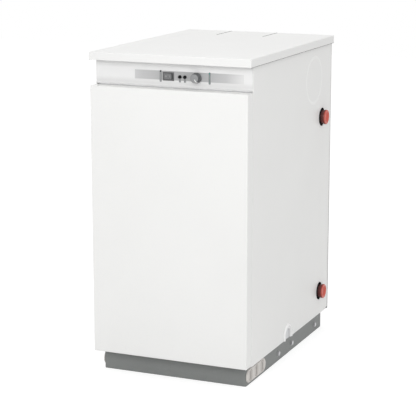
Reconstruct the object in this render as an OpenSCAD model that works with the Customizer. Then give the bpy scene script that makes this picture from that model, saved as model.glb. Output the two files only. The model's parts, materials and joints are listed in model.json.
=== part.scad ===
// Floor-standing kitchen oil boiler: white sheet casing on a grey plinth, lift-off lid, front
// door on bottom studs, and inside it a welded boiler body fired by a pressure-jet burner.
// Millimetres. X runs to the right seen from the front, the front faces -Y and Z points up.
// The origin is on the floor, under the middle of the casing.

/* [Casing] */
// Width over the side panels
casing_w = 440; // [430:5:480]
// Depth from the door's face to the back of the lid
casing_d = 650; // [640:5:700]
// Height from the floor to the top of the lid
casing_h = 860; // [850:5:900]
// Thickness of the casing's sheet
sheet_t = 1.5; // [1:0.25:2]
// Outside radius of the sheet's bends
bend_r = 3; // [2.5:0.25:4]
// Width of the side panels' inward folds
fold_w = 18; // [14:1:20]
// Gap at a seam between two pieces that come apart
seam_gap = 0.3; // [0.2:0.1:0.5]

/* [Plinth] */
// Height of the plinth
plinth_h = 55; // [50:1:60]
// Step from the side panel in to the plinth
plinth_side_inset = 14; // [10:1:18]
// Step from the door's face in to the plinth
plinth_front_inset = 32; // [30:1:36]
// Step from the back of the lid in to the plinth
plinth_rear_inset = 18; // [14:1:24]
// Thickness of the plinth's sheet
plinth_t = 2; // [1.5:0.25:2.5]
// Width of the plinth's inward folds
plinth_fold = 26; // [20:1:30]
// Radius of the plinth's upright corners
plinth_corner_r = 6; // [4:1:8]
// Diameter over a plinth bolt's head
plinth_bolt_d = 12; // [10:0.5:14]
// Height of a plinth bolt's head
plinth_bolt_head = 3; // [2:0.5:4]
// Height of the plinth bolts above the floor
plinth_bolt_z = 21; // [18:1:24]

/* [Pipe entry plates] */
// Length of an entry plate
entry_w = 136; // [120:1:140]
// Height of an entry plate
entry_h = 38; // [34:1:42]
// Width of the rim round an entry plate's aperture
entry_rim = 3; // [2:0.5:5]
// How far an entry plate stands off the plinth
entry_stand = 3; // [2:0.5:4]
// Width of one oval knock-out
knockout_w = 26; // [20:1:30]

/* [Lid] */
// Height of the lid's skirt
lid_h = 21; // [18:1:25]
// Overhang of the lid past each side panel
lid_overhang = 6; // [5:0.5:8]
// Step from the door's face back to the lid's front
lid_front_set = 6; // [4:0.5:8]
// Width of the opening for the flue
flue_slot_w = 142; // [130:1:160]
// Depth of the opening for the flue, from the back of the lid
flue_slot_d = 120; // [118:1:124]
// Middle of the flue opening, across the casing
flue_x = -17; // [-20:1:0]
// Gap at each side of the blanking plate
flue_gap = 1.2; // [0.5:0.1:2]
// Width of the blanking plate's tongues under the lid
tongue_w = 10; // [8:1:12]

/* [Front door] */
// Depth of the door's pan
door_t = 32; // [30:1:36]
// Gap between the door and the casing behind it
door_gap = 3; // [2.5:0.25:4]
// Gap between the door and the plinth's top edge
door_lift = 1; // [0.5:0.25:2]
// Width of the folds at the back of the door's pan
door_fold = 12; // [10:1:14]
// Diameter of the studs that the door turns on
stud_d = 8; // [6:0.5:9]
// Height of the studs above the door's lower edge
stud_rise = 8; // [7.5:0.25:9]
// Thickness of the door's acoustic pad
pad_t = 18; // [12:1:20]

/* [Fascia] */
// Height of the fascia between the door and the lid
fascia_h = 66; // [64:1:70]
// Thickness of the fascia
fascia_t = 2; // [1.5:0.25:2.5]
// Radius of the cove at the foot of the fascia
cove_r = 10; // [8:1:14]
// Height of the printed strip
strip_h = 27; // [25:1:30]
// Distance of the strip's left end from the casing's side
strip_left = 113; // [106:1:120]
// Distance of the strip's right end from the casing's side
strip_right = 25; // [15:1:35]
// Thickness of the strip
strip_t = 0.6; // [0.4:0.1:1]
// Height of the strip's middle above the foot of the fascia
strip_rise = 31; // [30:1:33]

/* [Controls] */
// Diameter of the thermostat knob
knob_d = 27; // [24:0.5:30]
// Depth of the thermostat knob
knob_l = 18; // [15:1:20]
// Place of the knob across the fascia
knob_x = 67; // [64:1:72]
// Diameter of the thermostat's spindle
spindle_d = 6; // [5:0.5:7]
// Width of the rocker switch's bezel
switch_w = 31; // [28:0.5:34]
// Height of the rocker switch's bezel
switch_h = 22; // [20:0.5:24]
// Place of the rocker switch across the fascia
switch_x = -12; // [-14:1:-8]
// Swing of the rocker from off to on, in degrees
rocker_swing = 16; // [12:1:18]
// Diameter of a push button
button_d = 8.5; // [7:0.5:9]
// How far a push button stands out
button_stand = 4; // [3:0.5:5]
// Places of the two push buttons across the fascia
button_xs = [20, 34]; // [16:1:40]

/* [Boiler body] */
// Room from each side panel's face to the water jacket
jacket_side = 50; // [46:1:56]
// Room in front of the boiler body, where the burner hangs
burner_room = 220.5; // [218:0.5:226]
// Room from the top of the water jacket to the top of the lid
jacket_room = 170.5; // [168:0.5:178]
// Thickness of the boiler's plate
plate_t = 5; // [4:0.5:6]
// Height of the skids under the jacket
skid_h = 33; // [30:1:36]
// Water space between jacket and combustion chamber
water_w = 40; // [36:1:42]
// Thickness of the insulation wrap
wrap_t = 28; // [24:1:30]
// Gap between the insulation and the casing's back
wrap_back_gap = 12; // [10:1:14]

/* [Pipe connections] */
// Outside diameter of the pipe tails
tail_d = 33.7; // [32:0.1:34]
// Wall of the pipe tails
tail_wall = 3.2; // [2.6:0.1:3.6]
// How far the tails reach past the side panel
tail_proud = 1; // [0.5:0.5:2]
// Distance of the tails from the back of the casing
tail_back = 79; // [76:1:84]
// Height of the return tails above the floor
return_z = 125; // [122:1:130]
// Distance of the flow tails below the top of the water jacket
flow_drop = 53.5; // [50:0.5:66]
// Diameter of the hole in the side panel
pipe_hole_d = 52; // [48:1:56]
// Diameter of the red plug's head
plug_d = 40; // [38:0.5:42]
// Thickness of the red plug's head
plug_head = 14; // [12:0.5:16]
// Length of the red plug's spigot
plug_spigot = 18; // [14:1:22]

/* [Flue] */
// Bore of the flue socket
flue_bore_d = 100.6; // [98:0.1:102]
// Wall of the flue socket
flue_wall = 3; // [2:0.5:3.5]
// Depth of the flue socket
flue_socket_l = 60; // [50:1:64]
// Height of the collector box
collector_h = 50; // [45:1:55]

/* [Burner] */
// Height of the burner head above the floor
burner_z = 325; // [315:1:335]
// Outside diameter of the blast tube
blast_d = 90; // [80:1:94]
// Diameter of the fan wheel
fan_d = 118; // [112:1:120]
// Width of the fan wheel
fan_w = 50; // [44:1:54]
// Number of blades on the fan wheel
blade_count = 32; // [24:1:36]
// Least gap between the fan wheel and its scroll
scroll_gap = 6; // [5:0.5:8]
// Wall of the burner's castings
cast_t = 4; // [3:0.5:5]
// Diameter of the burner's motor
motor_d = 92; // [86:1:96]
// Length of the burner's motor
motor_l = 92; // [86:1:100]
// Diameter of the motor's shaft
shaft_d = 8; // [7:0.5:9]

/* [Oil line] */
// Diameter of the oil pipe that the valve takes
oil_pipe_d = 10.2; // [10:0.1:12.2]
// Diameter of the oil filter's bowl
bowl_d = 44; // [40:1:48]
// Height of the oil filter's bowl
bowl_h = 52; // [48:1:54]
// Length of the isolating valve's lever
lever_l = 46; // [40:1:50]
// Diameter of the flexible oil hose
hose_d = 12; // [10:0.5:13]

/* [Hidden] */

$fn = 64;
// Overrun of every cut past the face that it leaves
over = 1;
// Roundness of a slot's ends, just short of a full half circle
slot_round_share = 0.999;
// Running clearance of a turning or sliding pin, on the radius
run_gap = 0.05;
// Loose clearance round a piece that passes through a hole
pass_gap = 1.5;

// Levels and planes that several pieces share
door_y0 = -casing_d / 2;
door_y1 = door_y0 + door_t;
shell_y0 = door_y1 + door_gap;
lid_y1 = casing_d / 2;
lid_play = sheet_t;
shell_y1 = lid_y1 - sheet_t - lid_play;
shell_x = casing_w / 2;
inner_x = shell_x - sheet_t;
door_z0 = plinth_h + door_lift;
lid_z0 = casing_h - lid_h;
lid_under = casing_h - sheet_t;
panel_top = lid_under - seam_gap;
door_z1 = lid_z0 - fascia_h;
floor_z = plinth_h + sheet_t;

// Plinth and its entry plates
plinth_x = shell_x - plinth_side_inset;
plinth_y0 = door_y0 + plinth_front_inset;
plinth_y1 = lid_y1 - plinth_rear_inset;
bolt_share = [0.2225, 0.4536, 0.8726];
plinth_bolt_shank = 6;
entry_front = 1;
entry_y = plinth_y0 + entry_front + entry_w / 2;
entry_z = 25;
entry_end = entry_y + entry_w / 2;
bolt_ys = [for (f = bolt_share) entry_end + f * (plinth_y1 - entry_end)];
entry_flange = 1.2;
knockout_pitch_share = 0.31;
knockout_score = 1.2;

// Side panel openings
notch_w = 50;
notch_h = 36;
notch_back = 343;
notch_y = lid_y1 - notch_back;
grommet_t = 6;
grommet_lip = 1.5;
knock_d = 130;
knock_back = 150;
knock_top = 112;
knock_groove = 1.2;
knock_groove_depth = 0.5;
tray_lip = 42;
screw_d = 8;
screw_head = 2;
screw_inset = 9;
screw_share = [0.04, 0.5, 0.96];

// Rail and catches behind the door's top edge
rail_h = 28;
rail_flange = 20;
catch_w = 46;
catch_h = 14;
catch_x = 120;
fascia_z0 = door_z1 - door_lift;
tray_z = fascia_z0 - seam_gap - sheet_t;

// Door hinge: studs on brackets, hooks on the door
stud_y = door_y1 - door_fold;
stud_z = door_z0 + stud_rise;
bracket_t = 2;
bracket_w = 16;
bracket_h = 26;
bracket_x = inner_x - fold_w - bracket_t;
arm_front = 6;
arm_low = 5.5;
arm_high = 9;
stud_l = 10;
stud_head_d = 12;
stud_head_t = 2;
hook_t = 3;
hook_h = 40;
hook_back = 9;
hook_foot = 18;
hook_play = 0.2;
door_return = 13;

// Fascia, strip and marks
face_y = shell_y0;
strip_z = fascia_z0 + strip_rise;
strip_x0 = -shell_x + strip_left;
strip_x1 = shell_x - strip_right;
fascia_shelf = 12;
mark_xs = [-34, 102];
mark_w = 5;
mark_h = 30;
mark_line = 1;
mark_t = 0.4;
button_mark_w = 5;
button_mark_h = 8;
button_mark_drop = 10;
lens_d = 4;
lens_t = 1;

// Controls behind the fascia
bezel_t = 2;
bezel_wall = 2.4;
switch_depth = 24;
rocker_back = 4;
rocker_pin_d = 3;
rocker_depth = 9;
rocker_side_gap = 0.8;
button_travel = 2.5;
button_collar = 1.5;
button_stem = 14;
knob_skirt_t = 3;
knob_gap = 0.8;
knob_back = face_y - strip_t - knob_gap;
knob_flutes = 20;
flute_d = 2;
knob_wall = 5;
pointer_w = 2;
pointer_stand = 0.5;
pointer_rest = -60;
stat_w = 36;
stat_h = 28;
stat_d = 34;
limit_w = 13;
limit_h = 26;
limit_d = 30;
bush_d = 11;
bush_l = 5;
tray_w = 300;
tray_d = 150;
tray_wall = 24;

// Boiler body
jacket_x = shell_x - jacket_side;
jacket_w = 2 * jacket_x;
jacket_y1 = shell_y1 - sheet_t - wrap_back_gap - wrap_t + plate_t;
front_plate_y = shell_y0 + burner_room;
jacket_y0 = front_plate_y + plate_t;
jacket_d = jacket_y1 - jacket_y0;
jacket_z0 = floor_z + skid_h;
jacket_z1 = casing_h - jacket_room;
jacket_h = jacket_z1 - jacket_z0;
chamber_x = jacket_x - water_w;
chamber_z0 = jacket_z0 + water_w;
chamber_z1 = jacket_z1 - water_w;
chamber_y1 = jacket_y1 - water_w;
way_side = 40;
way_x = chamber_x - way_side;
way_d = 60;
way_y1 = chamber_y1 - plate_t;
way_y0 = way_y1 - way_d;
skid_w = 40;
skid_in = 20;
ledge_w = 10;
ledge_t = 6;
baffle_t = 3;
baffle_count = 4;
baffle_top_gap = 71;
baffle_gap = 1;
baffle_back_gap = 45;
baffle_base = 260;
baffle_z = chamber_z0 + baffle_base;
baffle_rise = (chamber_z1 - plate_t - baffle_top_gap - baffle_z) / baffle_count;
gasket_t = 6;
gasket_w = 9;
clean_t = 8;
clean_over = 24;
clean_board_t = 28;
board_gap = 3;
nut_d = 15;
nut_h = 8;
nut_stud_d = 8;
nut_stud_l = 22;
nut_edge = 9;
nut_share = [0.05, 0.35, 0.65, 0.95];
clean_y1 = front_plate_y - gasket_t;
clean_y0 = clean_y1 - clean_t;

// Pipe tails and plugs
tail_y = lid_y1 - tail_back;
flow_z = jacket_z1 - flow_drop;
tail_end = shell_x + tail_proud;
tail_bore = tail_d - 2 * tail_wall;
wrap_hole_gap = 5;
wrap_hole_d = tail_d + 2 * wrap_hole_gap;
plug_rim = 1.5;
plug_wall = 2;

// Flue
flue_back = 67;
flue_y = lid_y1 - flue_back;
collector_side = 18;
collector_x = way_x + collector_side;
collector_lip = 12;
collector_y0 = way_y0 - collector_lip;
collector_edge = 2;
collector_y1 = flue_y + flue_bore_d / 2 + flue_wall + collector_edge;
collector_t = 3;
collector_top = jacket_z1 + collector_h;
flue_stop_h = 22;
socket_z1 = collector_top + flue_stop_h + flue_socket_l;
flue_stop_w = 4;

// Burner: the fan shaft runs along X, the blast tube along Y
flange_w = 142;
flange_t = 8;
flange_bolt_d = 8;
flange_bolt_head = 13;
flange_bolt_t = 6;
flange_bolt_share = 0.41;
flange_y0 = clean_y0 - flange_t;
fan_back = 95;
fan_y = flange_y0 - fan_back;
duct_h = blast_d;
scroll_r0 = fan_d / 2 + scroll_gap;
scroll_duct_rise = 13;
fan_z = burner_z - duct_h / 2 - scroll_duct_rise;
housing_x = blast_d / 2 + cast_t;
scroll_steps = 36;
scroll_sweep = 270;
fan_hub_d = 20;
blade_t = 1.2;
blade_depth = 12;
blade_curve_r = 12;
rim_t = 2;
motor_cap_l = 14;
motor_flange_t = 6;
motor_flange_d = 108;
motor_fin_t = 3;
motor_fin_count = 18;
motor_fin_h = 3;
blast_wall = 2;
blast_in = 78;
tube_gap = 1.5;
box_l = 30;
box_h = 100;
box_d = 104;
damper_t = 2;
damper_pin_d = 5;
damper_gap = 2;
damper_drop = 9;
damper_open = 60;
pump_d = 58;
pump_l = 52;
pump_hub_d = 32;
pump_hub_l = 6;
pump_port_d = 14;
pump_port_l = 8;
coil_d = 30;
coil_l = 34;
hose_rise = 12;
coupling_d = 18;
coupling_l = 20;
shaft_in = 30;
ctrl_w = 100;
ctrl_d = 92;
ctrl_h = 52;
ctrl_r = 6;
reset_d = 18;
reset_stand = 5;
reset_travel = 3;
reset_depth = 8;
nozzle_rod_d = 10;
nozzle_hex_d = 18;
jet_back = 36;
jet_y = flange_y0 - jet_back;
jet_pipe_d = 6;
jet_nut_d = 14;
jet_nut_l = 8;
nozzle_l = 34;
diffuser_t = 1.5;
diffuser_gap = 0.3;
diffuser_slots = 8;
electrode_d = 7;
electrode_wire_d = 2;
electrode_off = 16;

// Oil line
valve_side = 53.5;
valve_front = 58;
valve_x = inner_x - valve_side;
valve_y = shell_y0 + valve_front;
valve_d = 24;
valve_h = 46;
valve_foot = 8;
valve_z0 = floor_z + valve_foot;
bonnet_d = 14;
bonnet_l = 10;
lever_w = 14;
lever_t = 3;
lever_hub_d = 20;
lever_gap = 0.3;
head_h = 22;
head_w = 36;
filter_pitch = 50;
filter_x = valve_x - filter_pitch;
tray_hole_d = 30;
oil_bracket_t = 3;
port_boss_d = 16;
port_boss_h = 7.5;

// Routes of the pipes and cables that the casing holds; each end runs straight for two leads
lead = 9;
function straight_end(p, dir) = [p, p + lead * dir, p + 2 * lead * dir];
function route(start, start_dir, middle, end_dir, end) = concat(
    straight_end(start, start_dir), middle,
    [for (i = [2 : -1 : 0]) straight_end(end, end_dir)[i]]);
hose_start = [filter_x, valve_y, valve_z0 + valve_h + head_h + port_boss_h];
hose_end = [housing_x + box_l + pump_l - pump_hub_l + pump_port_l, fan_y, fan_z + hose_rise];
hose_bow_x = [10, 33, 57, 69, 61];
hose_bow_y = [-4, -10, -8, 6, 30];
hose_bow_z = [48, 72, 96, 118, 134];
hose_bends = [for (i = [0 : len(hose_bow_x) - 1])
    hose_start + [hose_bow_x[i], hose_bow_y[i], hose_bow_z[i]]];
hose_route = route(hose_start, [0, 0, 1], hose_bends, [1, 0, 0], hose_end);
cable_d = 7;
gland_d = 15;
gland_h = 10;
gland_x = -60;
gland_back = 140;
cable_foot_x = -30;
cable_start = [gland_x, shell_y0 + gland_back, tray_z - gland_h];
cable_end = [cable_foot_x, fan_y + hose_rise, burner_z + duct_h / 2 + cast_t + ctrl_h];
cable_bow_x = [-14, -36, -44, -42, -22, 12];
cable_bow_y = [-8, -24, -30, -32, -30, -25];
cable_drop_share = [0.135, 0.27, 0.42, 0.6, 0.764, 0.88];
cable_bends = [for (i = [0 : len(cable_bow_x) - 1])
    cable_start + [cable_bow_x[i], cable_bow_y[i],
        cable_drop_share[i] * (cable_end.z - cable_start.z)]];
cable_route = route(cable_start, [0, 0, -1], cable_bends, [0, 0, 1], cable_end);
capillary_d = 2.4;
pocket_d = 16;
pocket_l = 150;
pocket_side = 22;
pocket_back = 59.5;
pocket_x = jacket_x - pocket_side;
pocket_y = jacket_y0 + pocket_back;
pocket_head = 32;
phial_off = 2;
phial_in = 12;
phial_z = jacket_z1 + pocket_head - phial_in;
capillary_share_x = [0.06, 0.3, 0.59, 0.83, 0.964];
capillary_share_y = [0.157, 0.337, 0.578, 0.779, 0.932];
capillary_share_z = [0.021, 0.086, 0.225, 0.417, 0.588];
function capillary_bends(a, b) = [for (i = [0 : len(capillary_share_x) - 1])
    a + [capillary_share_x[i] * (b.x - a.x), capillary_share_y[i] * (b.y - a.y),
        capillary_share_z[i] * (b.z - a.z)]];
function capillary_route(a, b) = route(a, [0, 1, 0], capillary_bends(a, b), [0, 0, 1], b);
capillary_routes = [
    capillary_route([knob_x, face_y + fascia_t + stat_d, strip_z],
        [pocket_x + phial_off, pocket_y, phial_z]),
    capillary_route([button_xs[0], face_y + fascia_t + limit_d, strip_z],
        [pocket_x - phial_off, pocket_y, phial_z])
];

// Shapes that several pieces use

// Block between two opposite corners
module span(lo, hi) { translate(lo) cube(hi - lo); }

// Round bar along +X or +Y from the local origin
module rod_x(d, l) { rotate([0, 90, 0]) cylinder(d = d, h = l); }
module rod_y(d, l) { rotate([-90, 0, 0]) cylinder(d = d, h = l); }

// Rectangle about the origin with round corners
module round_rect(w, h, r) {
    square([w - 2 * r, h], center = true);
    square([w, h - 2 * r], center = true);
    for (sx = [-1, 1], sy = [-1, 1])
        translate([sx * (w / 2 - r), sy * (h / 2 - r)]) circle(r);
}

// Slot outline about the origin, round at both ends of its longer way
module slot_outline(w, h) { round_rect(w, h, min(w, h) / 2 * slot_round_share); }

// Rectangle standing on y = 0 with its two upper corners round
module bent_outline(w, h, r) {
    translate([-w / 2, 0]) square([w, h - r]);
    translate([-w / 2 + r, 0]) square([w - 2 * r, h]);
    for (s = [-1, 1]) translate([s * (w / 2 - r), h - r]) circle(r);
}

// Block with the bends of a folded pan: round top edges and upright corners, open base at z = 0
module pan_block(w, d, h, r) {
    intersection() {
        linear_extrude(h) round_rect(w, d, r);
        translate([0, d / 2, 0]) rotate([90, 0, 0]) linear_extrude(d) bent_outline(w, h, r);
        translate([-w / 2, 0, 0]) rotate([90, 0, 90]) linear_extrude(w) bent_outline(d, h, r);
    }
}

// Folded sheet pan, closed on top
module pan(w, d, h, t, r) {
    difference() {
        pan_block(w, d, h, r);
        translate([0, 0, -over]) pan_block(w - 2 * t, d - 2 * t, h - t + over, r - t);
    }
}

// Rectangular ring plate in the XZ plane, seen along Y
module frame_y(w, h, bar, t) {
    difference() {
        translate([-w / 2, 0, 0]) cube([w, t, h]);
        translate([-w / 2 + bar, -over, bar])
            cube([w - 2 * bar, t + 2 * over, h - 2 * bar]);
    }
}

// Smooth curve through a route's points
function curve_point(p, q, r, s, t) =
    (2 * q + (r - p) * t + (2 * p - 5 * q + 4 * r - s) * t * t
        + (3 * q - p - 3 * r + s) * t * t * t) / 2;
function smooth_route(pts, steps) = [
    for (i = [0 : len(pts) - 2], k = [0 : steps - 1])
        curve_point(pts[max(i - 1, 0)], pts[i], pts[i + 1], pts[min(i + 2, len(pts) - 1)],
            k / steps),
    pts[len(pts) - 1]
];
function unit(v) = v / norm(v);
function way(pts, i) =
    unit(pts[min(i + 1, len(pts) - 1)] - pts[max(i - 1, 0)]);

// Tube of round section swept along a route, its ends flat
module swept_tube(pts, d, sides) {
    n = len(pts);
    side_way = [0.31, 0.93, 0.2];
    rings = [for (i = [0 : n - 1])
        let (t = way(pts, i), u = unit(cross(t, side_way)), v = cross(t, u))
        for (k = [0 : sides - 1]) pts[i] + d / 2 * (cos(360 * k / sides) * u
            + sin(360 * k / sides) * v)];
    walls = [for (i = [0 : n - 2], k = [0 : sides - 1])
        let (a = i * sides + k, b = i * sides + (k + 1) % sides)
        each [[a, a + sides, b], [b, a + sides, b + sides]]];
    first = [for (k = [0 : sides - 1]) k];
    last = [for (k = [sides - 1 : -1 : 0]) (n - 1) * sides + k];
    polyhedron(rings, concat(walls, [first], [last]), convexity = 6);
}

// Plinth and floor

module plinth() {
    w = 2 * plinth_x;
    d = plinth_y1 - plinth_y0;
    color("dimgray") translate([0, (plinth_y0 + plinth_y1) / 2, 0]) difference() {
        linear_extrude(plinth_h) round_rect(w, d, plinth_corner_r);
        translate([0, 0, plinth_t]) linear_extrude(plinth_h - 2 * plinth_t)
            round_rect(w - 2 * plinth_t, d - 2 * plinth_t, plinth_corner_r - plinth_t);
        translate([0, 0, -over]) linear_extrude(plinth_h + 2 * over)
            square([w - 2 * plinth_fold, d - 2 * plinth_fold], center = true);
        translate([0, -(plinth_y0 + plinth_y1) / 2, 0]) {
            for (y = bolt_ys) translate([-plinth_x - over, y, plinth_bolt_z])
                rod_x(plinth_bolt_shank + 2 * seam_gap, 2 * (plinth_x + over));
            translate([-plinth_x - over, entry_y, entry_z]) rotate([90, 0, 90])
                linear_extrude(2 * (plinth_x + over))
                    slot_outline(entry_w - 2 * entry_rim, entry_h - 2 * entry_rim);
        }
    }
}

// Three zinc-plated hexagon bolts on each side
module plinth_bolts() {
    color("silver") for (s = [0, 1], y = bolt_ys)
        mirror([s, 0, 0]) translate([plinth_x, y, plinth_bolt_z]) {
            translate([-plinth_t - plinth_bolt_head, 0, 0])
                rod_x(plinth_bolt_shank, plinth_t + plinth_bolt_head);
            rotate([0, 90, 0]) cylinder(d = plinth_bolt_d, h = plinth_bolt_head, $fn = 6);
        }
}

// Moulded plate with three oval knock-outs, one on each side of the plinth
module entry_plates() {
    color("gainsboro") for (s = [0, 1])
        mirror([s, 0, 0]) translate([plinth_x, entry_y, entry_z]) rotate([90, 0, 90])
            difference() {
                union() {
                    linear_extrude(entry_flange) slot_outline(entry_w, entry_h);
                    linear_extrude(entry_stand)
                        slot_outline(entry_w - entry_rim, entry_h - entry_rim);
                    translate([0, 0, -plinth_t]) linear_extrude(plinth_t + entry_flange)
                        slot_outline(entry_w - 2 * entry_rim - seam_gap,
                            entry_h - 2 * entry_rim - seam_gap);
                }
                for (k = [-1 : 1])
                    translate([k * knockout_pitch_share * entry_w, 0,
                        entry_stand - knockout_score]) linear_extrude(entry_stand)
                            difference() {
                                slot_outline(knockout_w, entry_h - 2 * entry_rim - entry_flange);
                                slot_outline(knockout_w - 2 * knockout_score,
                                    entry_h - 2 * entry_rim - entry_flange
                                        - 2 * knockout_score);
                            }
            }
}

// Shallow tray that carries the boiler and ties the panels together
module base_tray() {
    y0 = shell_y0 + sheet_t;
    y1 = shell_y1 - 2 * sheet_t;
    color("gainsboro") difference() {
        translate([0, (y0 + y1) / 2, plinth_h]) difference() {
            linear_extrude(tray_lip) round_rect(2 * inner_x, y1 - y0, bend_r);
            translate([0, 0, sheet_t]) linear_extrude(tray_lip)
                round_rect(2 * (inner_x - sheet_t), y1 - y0 - 2 * sheet_t, bend_r - sheet_t);
        }
        translate([valve_x, valve_y, plinth_h - over])
            cylinder(d = tray_hole_d, h = sheet_t + 2 * over);
    }
}

// Two channels under the boiler body
module boiler_skids() {
    color("dimgray") for (s = [0, 1]) mirror([s, 0, 0])
        translate([jacket_x - skid_in - skid_w, jacket_y0, floor_z]) difference() {
            cube([skid_w, jacket_d, skid_h]);
            translate([plate_t, -over, plate_t])
                cube([skid_w, jacket_d + 2 * over, skid_h - 2 * plate_t]);
        }
}

// Casing panels

// Notch at a panel's foot with a round top, as an outline in Y and Z
module notch_outline(w, h) {
    translate([-w / 2, -over]) square([w, h - w / 2 + over]);
    translate([0, h - w / 2]) circle(d = w);
}

// Folded side panel; side is 0 for the right one and 1 for its mirror image
module side_panel(side) {
    y_mid = (shell_y0 + shell_y1) / 2;
    depth = shell_y1 - shell_y0;
    color("whitesmoke") mirror([side, 0, 0]) difference() {
        intersection() {
            translate([0, y_mid, plinth_h]) linear_extrude(panel_top - plinth_h)
                round_rect(2 * shell_x, depth, bend_r);
            span([inner_x - fold_w, shell_y0 - over, plinth_h - over],
                [shell_x + over, shell_y1 + over, panel_top + over]);
        }
        translate([0, y_mid - sheet_t / 2, plinth_h - over])
            linear_extrude(panel_top - plinth_h - sheet_t + over)
                round_rect(2 * inner_x, depth - 3 * sheet_t, bend_r - sheet_t);
        span([0, shell_y1 - sheet_t, plinth_h - over],
            [inner_x, shell_y1 + over, panel_top + over]);
        span([0, shell_y0 - over, fascia_z0 - seam_gap],
            [inner_x, shell_y0 + bend_r + fascia_t, panel_top - sheet_t - seam_gap]);
        for (z = [return_z, flow_z]) translate([inner_x - over, tail_y, z])
            rod_x(pipe_hole_d, sheet_t + 2 * over);
        translate([inner_x - over, notch_y, plinth_h]) rotate([90, 0, 90])
            linear_extrude(sheet_t + 2 * over) notch_outline(notch_w, notch_h);
        translate([shell_x - knock_groove_depth, lid_y1 - knock_back, casing_h - knock_top])
            rotate([0, 90, 0]) difference() {
                cylinder(d = knock_d, h = over);
                translate([0, 0, -over]) cylinder(d = knock_d - 2 * knock_groove, h = 3 * over);
            }
    }
}
module side_panel_right() { side_panel(0); }
module side_panel_left() { side_panel(1); }

// White edging round each notch
module notch_grommets() {
    color("white") for (s = [0, 1]) mirror([s, 0, 0])
        translate([inner_x, notch_y, plinth_h]) rotate([90, 0, 90])
            difference() {
                union() {
                    linear_extrude(sheet_t + grommet_lip) notch_edge(notch_w, notch_h);
                    translate([0, 0, sheet_t]) linear_extrude(grommet_lip)
                        notch_edge(notch_w + 2 * grommet_lip, notch_h + grommet_lip);
                }
                translate([0, 0, -over]) linear_extrude(sheet_t + grommet_lip + 2 * over)
                    notch_outline(notch_w - 2 * grommet_t, notch_h - grommet_t);
            }
}
module notch_edge(w, h) {
    intersection() {
        notch_outline(w, h);
        translate([-w / 2, 0]) square([w, h]);
    }
}

module back_panel() {
    color("gainsboro")
        span([-inner_x + seam_gap, shell_y1 - sheet_t, floor_z],
            [inner_x - seam_gap, shell_y1, panel_top - sheet_t - seam_gap]);
}

// Pan-head screws that hold the back panel to the side panels' folds
module panel_screws() {
    reach = panel_top - floor_z;
    color("silver") for (s = [-1, 1], f = screw_share)
        translate([s * (inner_x - screw_inset), shell_y1, floor_z + f * reach])
            rod_y(screw_d, screw_head);
}

// Channel across the front, behind the door's top edge
module catch_rail() {
    y0 = shell_y0 + sheet_t;
    x = inner_x - bend_r;
    color("gainsboro") difference() {
        span([-x, y0, tray_z - rail_h], [x, y0 + rail_flange, tray_z]);
        span([-x - over, y0 + sheet_t, tray_z - rail_h + sheet_t],
            [x + over, y0 + rail_flange + over, tray_z - sheet_t]);
    }
}

module magnetic_catches() {
    color("dimgray") for (s = [-1, 1])
        translate([s * catch_x, 0, 0])
            span([-catch_w / 2, door_y1 + seam_gap, tray_z - catch_h],
                [catch_w / 2, shell_y0 + sheet_t, tray_z]);
}

// Front door

// Brackets on the side panels' front folds, each with a shouldered stud
module hinge_brackets() {
    color("silver") for (s = [0, 1]) mirror([s, 0, 0]) {
        span([bracket_x, shell_y0 - bracket_t, stud_z - arm_low],
            [bracket_x + bracket_w, shell_y0, stud_z - arm_low + bracket_h]);
        span([bracket_x, stud_y - arm_front, stud_z - arm_low],
            [bracket_x + bracket_t, shell_y0, stud_z + arm_high]);
        translate([bracket_x - stud_l, stud_y, stud_z]) rod_x(stud_d, stud_l + over);
        translate([bracket_x - stud_l - stud_head_t, stud_y, stud_z])
            rod_x(stud_head_d, stud_head_t);
    }
}

// Hook plate that sits over a stud, and its foot on the door's inner face
module door_hook() {
    x0 = bracket_x - stud_l / 2 - hook_t / 2;
    y0 = door_y0 + sheet_t;
    difference() {
        union() {
            span([x0, y0, stud_z - stud_d / 2], [x0 + hook_t, stud_y + hook_back,
                stud_z + hook_h]);
            span([x0 - hook_foot, y0, stud_z - stud_d / 2], [x0 + hook_t, y0 + hook_t,
                stud_z + hook_h]);
        }
        translate([x0 - over, stud_y, stud_z]) {
            rod_x(stud_d + 2 * hook_play, hook_t + 2 * over);
            translate([0, -stud_d / 2 - hook_play, -stud_d])
                cube([hook_t + 2 * over, stud_d + 2 * hook_play, stud_d]);
        }
    }
}

module front_door() {
    h = door_z1 - door_z0;
    color("white") {
        difference() {
            translate([0, door_y1, (door_z0 + door_z1) / 2]) rotate([90, 0, 0])
                pan_block(casing_w, h, door_t, bend_r);
            translate([0, door_y1 - sheet_t, (door_z0 + door_z1) / 2]) rotate([90, 0, 0])
                pan_block(casing_w - 2 * sheet_t, h - 2 * sheet_t, door_t - 2 * sheet_t,
                    bend_r - sheet_t);
            span([-inner_x + door_fold, door_y1 - sheet_t - over, door_z0 - over],
                [inner_x - door_fold, door_y1 + over, door_z1 - sheet_t - door_fold]);
            span([-inner_x, door_y0 + door_return, door_z0 - over],
                [inner_x, door_y1 + over, door_z0 + stud_rise + hook_back]);
        }
        for (s = [0, 1]) mirror([s, 0, 0]) door_hook();
    }
}

// Foil-faced pad stuck inside the door
module door_pad() {
    color("lightgray")
        span([-inner_x + door_fold, door_y0 + sheet_t, stud_z + hook_h + seam_gap],
            [inner_x - door_fold, door_y0 + sheet_t + pad_t, door_z1 - sheet_t - door_fold]);
}

// Lid and the plate that closes its flue opening

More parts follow.
